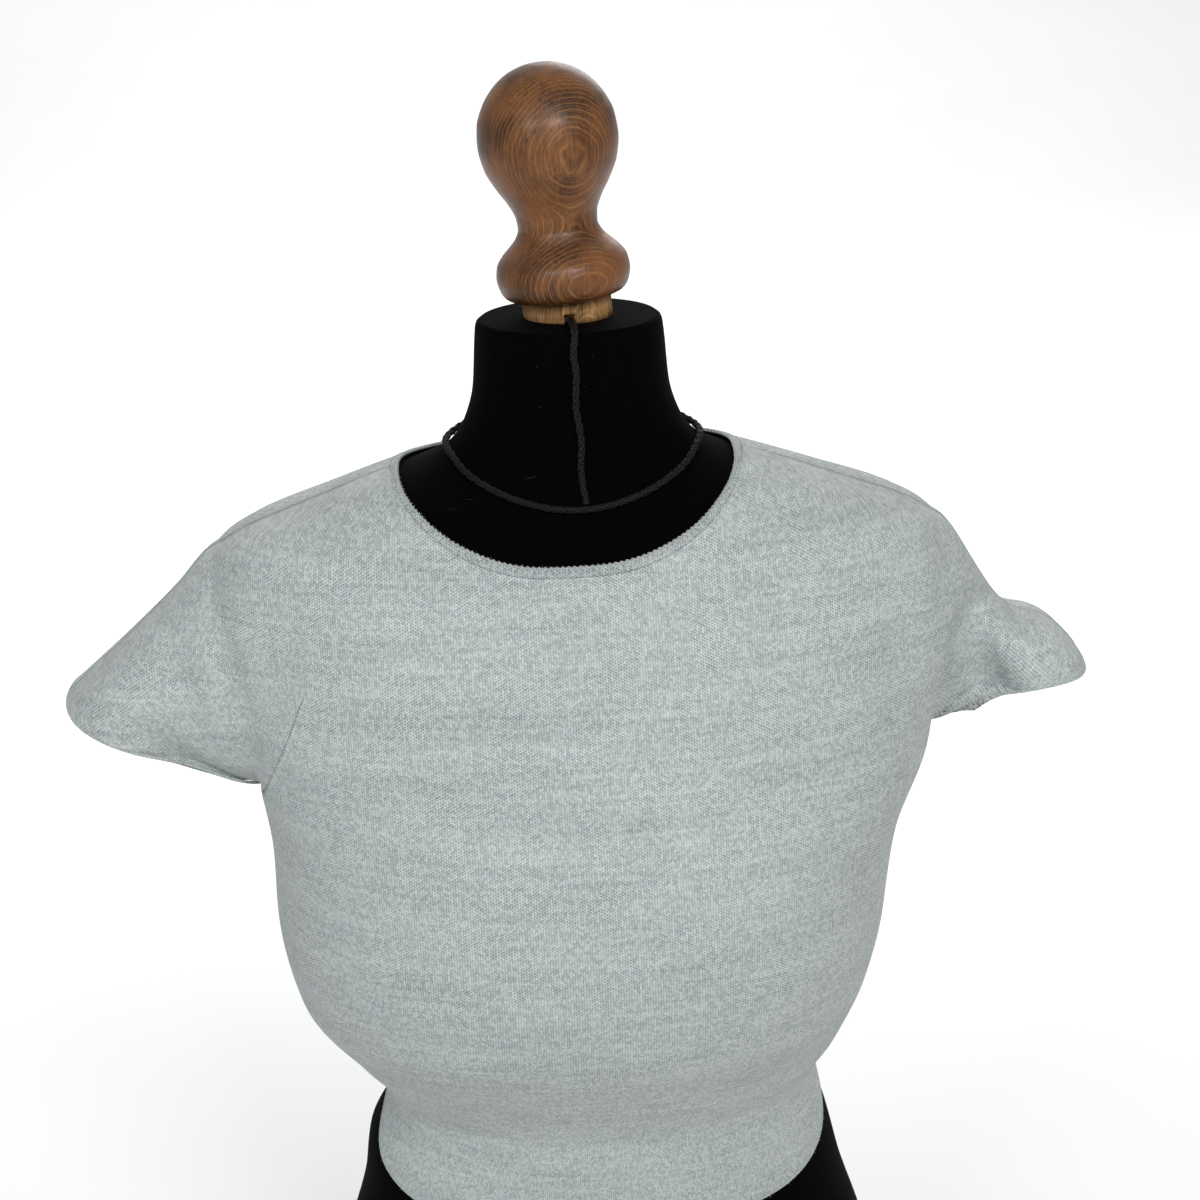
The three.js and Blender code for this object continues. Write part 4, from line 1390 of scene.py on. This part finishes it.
@dataclass
class NeckCord:
    """Black braided cord: a ring round the foot of the neck and a drop from the tenon's notch."""

    place: Place
    shape: FormShape = field(default_factory=FormShape)
    radius: float = 1.8
    seat: float = 0.45
    strand: float = 0.6
    strands: int = 4
    weave: float = 0.32
    spacing: float = 0.75
    pitch: float = 13.0
    ring_side: float = 624.0
    ring_front: float = 602.0
    ring_back: float = 640.0
    sink: float = 1.4
    wander: float = 0.7
    drift: float = 3.0

    def build(self) -> None:
        """Makes the braided ring and the braided drop."""
        finish = BraidFinish().make()
        for part, maker in (("ring", self.ring), ("drop", self.drop)):
            maker().build("braid_" + part, self.place, finish, "braid", ("cord_" + part,))

    def on_form(self, turn: Array, z: Array) -> Array:
        """The middle of a cord that lies on the form."""
        return self.shape.point(turn, z) + self.shape.normal(turn, z) * (self.radius + self.seat)

    def braid(self, line: Array, up: Array, closed: bool) -> Solid:
        """Strands that wind both ways round a line, over and under each other.

        A strand's angle grows along the line, and its distance from the line rises and falls twice
        as often as it crosses the strands that wind the other way.

        Args:
            line: the cord's middle.
            up: an outward direction at each point.
            closed: whether the cord is a ring.

        Returns:
            The strands and a core that fills the gaps between them.
        """
        line, up = resample(line, [up], self.spacing, closed)
        run = heading(line, closed)
        side = unit(np.cross(run, up))
        out = np.cross(side, run)
        length = len(line)
        turns = max(round(length * self.spacing / self.pitch), 1)
        along = np.arange(length) / length * turns * TURN
        solid = Solid()
        centre = self.radius - self.strand
        for way in (-1, 1):
            for k in range(self.strands):
                angle = (way * along + (k + 0.25 * (way > 0)) / self.strands * TURN)[:, None]
                weave = self.weave * way * np.cos(self.strands * along + k * np.pi)
                away = out * np.cos(angle) + side * np.sin(angle)
                path = line + away * (centre + weave)[:, None]
                tubes(solid, path, away, self.strand * 0.86, 6, closed)
        tubes(solid, line, out, centre * 0.6, 8, closed)
        return solid

    def ring(self) -> Solid:
        """The ring: low in front, level with the neck's foot at the sides, high behind."""
        turn = np.linspace(0, TURN, 240, endpoint=False)
        s = np.sin(turn)
        middle = np.where(s < 0, self.ring_front, self.ring_back)
        z = self.ring_side + (middle - self.ring_side) * s**2
        return self.braid(self.on_form(turn, z), self.shape.normal(turn, z), closed=True)

    def drop(self) -> Solid:
        """The drop: out of the notch, over the neck's edge and down its front to the ring."""
        top = self.shape.height
        lift = self.radius + self.seat
        over = np.array([[0, -21.5, top + lift], [0.5, -33, top + lift + 0.3], [1, -42, top + lift + 0.5],
                         [1, -46.6, top + lift - 0.9], [0.8, -49.2, top - 2.4]])
        i = np.arange(9)
        head = top - 9
        foot = self.ring_front + 2 * self.radius - self.sink
        z = head + (foot - head) * i / 8
        aside = self.drift * i / 8 + self.wander * np.sin(1.7 * i)
        turn = -QUARTER + aside / self.shape.depth(z, Face.FRONT)
        knots = np.concatenate([over, self.on_form(turn, z)])
        at = np.concatenate([[0], np.cumsum(np.sqrt(np.linalg.norm(np.diff(knots, axis=0), axis=-1)))])
        fine = np.linspace(0, at[-1], 160)
        line = self.through(knots, at, fine)
        outward = np.stack([0 * fine, -np.ones_like(fine), smoothstep(line[:, 2], top - 4, top + 2) * 3], -1)
        return self.braid(line, unit(outward), closed=False)

    def through(self, knots: Array, at: Array, fine: Array) -> Array:
        """A smooth line through knots: between two of them, the cubic with both ends' chord slopes."""
        slope = np.gradient(knots, at, axis=0)
        i = np.clip(np.searchsorted(at, fine) - 1, 0, len(at) - 2)
        h = (at[i + 1] - at[i])[:, None]
        t = ((fine - at[i])[:, None]) / h
        r = 1 - t
        return (knots[i] * (1 + 2 * t) * r * r + slope[i] * h * t * r * r
                + knots[i + 1] * t * t * (3 - 2 * t) - slope[i + 1] * h * t * t * r)


@dataclass
class Studio:
    """Pale floor, soft lights and the camera at the photo's viewing angle."""

    yaw: float = 1.8
    roll: float = -2.14
    distance: float = 1144.0
    height: float = 936.0
    aim: Pair = (13.0, 541.7)
    lens: float = 69.96
    floor_reach: float = 9000.0
    floor_bend_at: float = 4000.0
    floor_bend: float = 3000.0

    def build(self) -> None:
        """Makes the floor, the lights, the world and the camera."""
        self.floor()
        self.lights()
        self.camera()

    def floor(self) -> None:
        """A wide floor that curves up far behind: depth runs on while height rises as a quarter turn."""
        reach, start, curve = self.floor_reach, self.floor_bend_at, self.floor_bend
        x = np.linspace(-reach, reach, 9)
        bend = np.linspace(0, QUARTER, 17)
        depth = np.concatenate([[-reach, 0.0, start], start + curve * np.sin(bend[1:]), [start + curve]])
        height = np.concatenate([[0.0, 0.0, 0.0], curve - curve * np.cos(bend[1:]), [reach]])
        grid = np.stack([x[None] + 0 * depth[:, None], depth[:, None] + 0 * x, height[:, None] + 0 * x], -1)
        mesh = bpy.data.meshes.new("studio_floor")
        quads = grid_faces(len(depth), len(x))
        mesh.from_pydata((grid.reshape(-1, 3) / MM).tolist(), [], quads.tolist())
        mesh.polygons.foreach_set("use_smooth", np.ones(len(quads), bool))
        mesh.materials.append(FloorFinish().make())
        floor = bpy.data.objects.new("studio_floor", mesh)
        bpy.context.scene.collection.objects.link(floor)

    def area(self, name: str, at: Triple, size: float, power: float,
             tint: Triple, aim: Triple = (0, 0, 0.5)) -> None:
        """A square soft light.

        Args:
            name: the light's name.
            at: its place in metres.
            size: its side in metres.
            power: its power in watts.
            tint: its colour.
            aim: the place that it looks at, which is the top's middle if none is given.
        """
        data = bpy.data.lights.new(name, "AREA")
        data.size = size
        data.energy = power
        data.color = tint
        light = bpy.data.objects.new(name, data)
        light.location = at
        light.rotation_euler = (Vector(aim) - Vector(at)).to_track_quat("-Z", "Y").to_euler()
        bpy.context.scene.collection.objects.link(light)

    def lights(self) -> None:
        """Soft key and fill near the viewer, a weak light behind, one for the backdrop, and the air.

        The air is seen brighter than it lights, so that the backdrop is pale on every side.
        """
        self.area("key", (0.4, -1.5, 1.6), 0.6, 18.5, (1.0, 0.995, 0.98))
        self.area("fill", (-0.8, -1.5, 1.5), 0.6, 9.5, (0.98, 0.99, 1.0))
        self.area("behind", (0.5, 1.9, 1.5), 1.0, 9.0, (1.0, 1.0, 1.0))
        self.area("backdrop", (0.0, 1.6, 3.4), 3.0, 200.0, (1.0, 1.0, 1.0), (0.0, 6.0, 0.6))
        world = bpy.data.worlds.new("studio air")
        bpy.context.scene.world = world
        world.use_nodes = True
        nodes = Nodes(world.node_tree)
        seen = nodes.add("LightPath").outputs["Is Camera Ray"]
        back = world.node_tree.nodes["Background"]
        nodes.join(back, "Color", (0.98, 0.99, 1.0, 1.0))
        nodes.join(back, "Strength", nodes.plus(seen, 0.6, 0.3))
        bpy.context.scene.view_settings.view_transform = "Standard"

    def camera(self) -> None:
        """The camera: placed by yaw, distance and height, aimed, then rolled about its view."""
        yaw, roll = np.radians(self.yaw), np.radians(self.roll)
        at = np.array([-self.distance * np.sin(yaw), -self.distance * np.cos(yaw), self.height])
        aim = np.array([self.aim[0] * np.cos(yaw), -self.aim[0] * np.sin(yaw), self.aim[1]])
        forward = unit(aim - at)
        right = unit(np.cross(forward, np.array([0.0, 0.0, 1.0])))
        up = np.cross(right, forward)
        rolled_right = right * np.cos(roll) + up * np.sin(roll)
        rolled_up = up * np.cos(roll) - right * np.sin(roll)
        matrix = np.eye(4)
        matrix[:3, 0], matrix[:3, 1], matrix[:3, 2] = rolled_right, rolled_up, -forward
        matrix[:3, 3] = at / MM
        data = bpy.data.cameras.new("photo_camera")
        data.sensor_width = 36.0
        data.lens = self.lens
        data.clip_start = 0.01
        camera = bpy.data.objects.new("photo_camera", data)
        camera.matrix_world = Matrix(matrix.tolist())
        bpy.context.scene.collection.objects.link(camera)
        bpy.context.scene.camera = camera


def main() -> None:
    """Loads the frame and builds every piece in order."""
    logging.basicConfig(level=logging.INFO, format="%(name)s: %(message)s")
    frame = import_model()
    LOG.info("frame: %d nodes", len(frame["nodes"]))
    place = Place.from_frame()
    LOG.info("place: %.3f, %.3f mm", place.x, place.y)
    Studio().build()
    DressForm(place).build()
    NeckCord(place).build()
    CropTop(place).build()


if __name__ == "__main__":
    main()
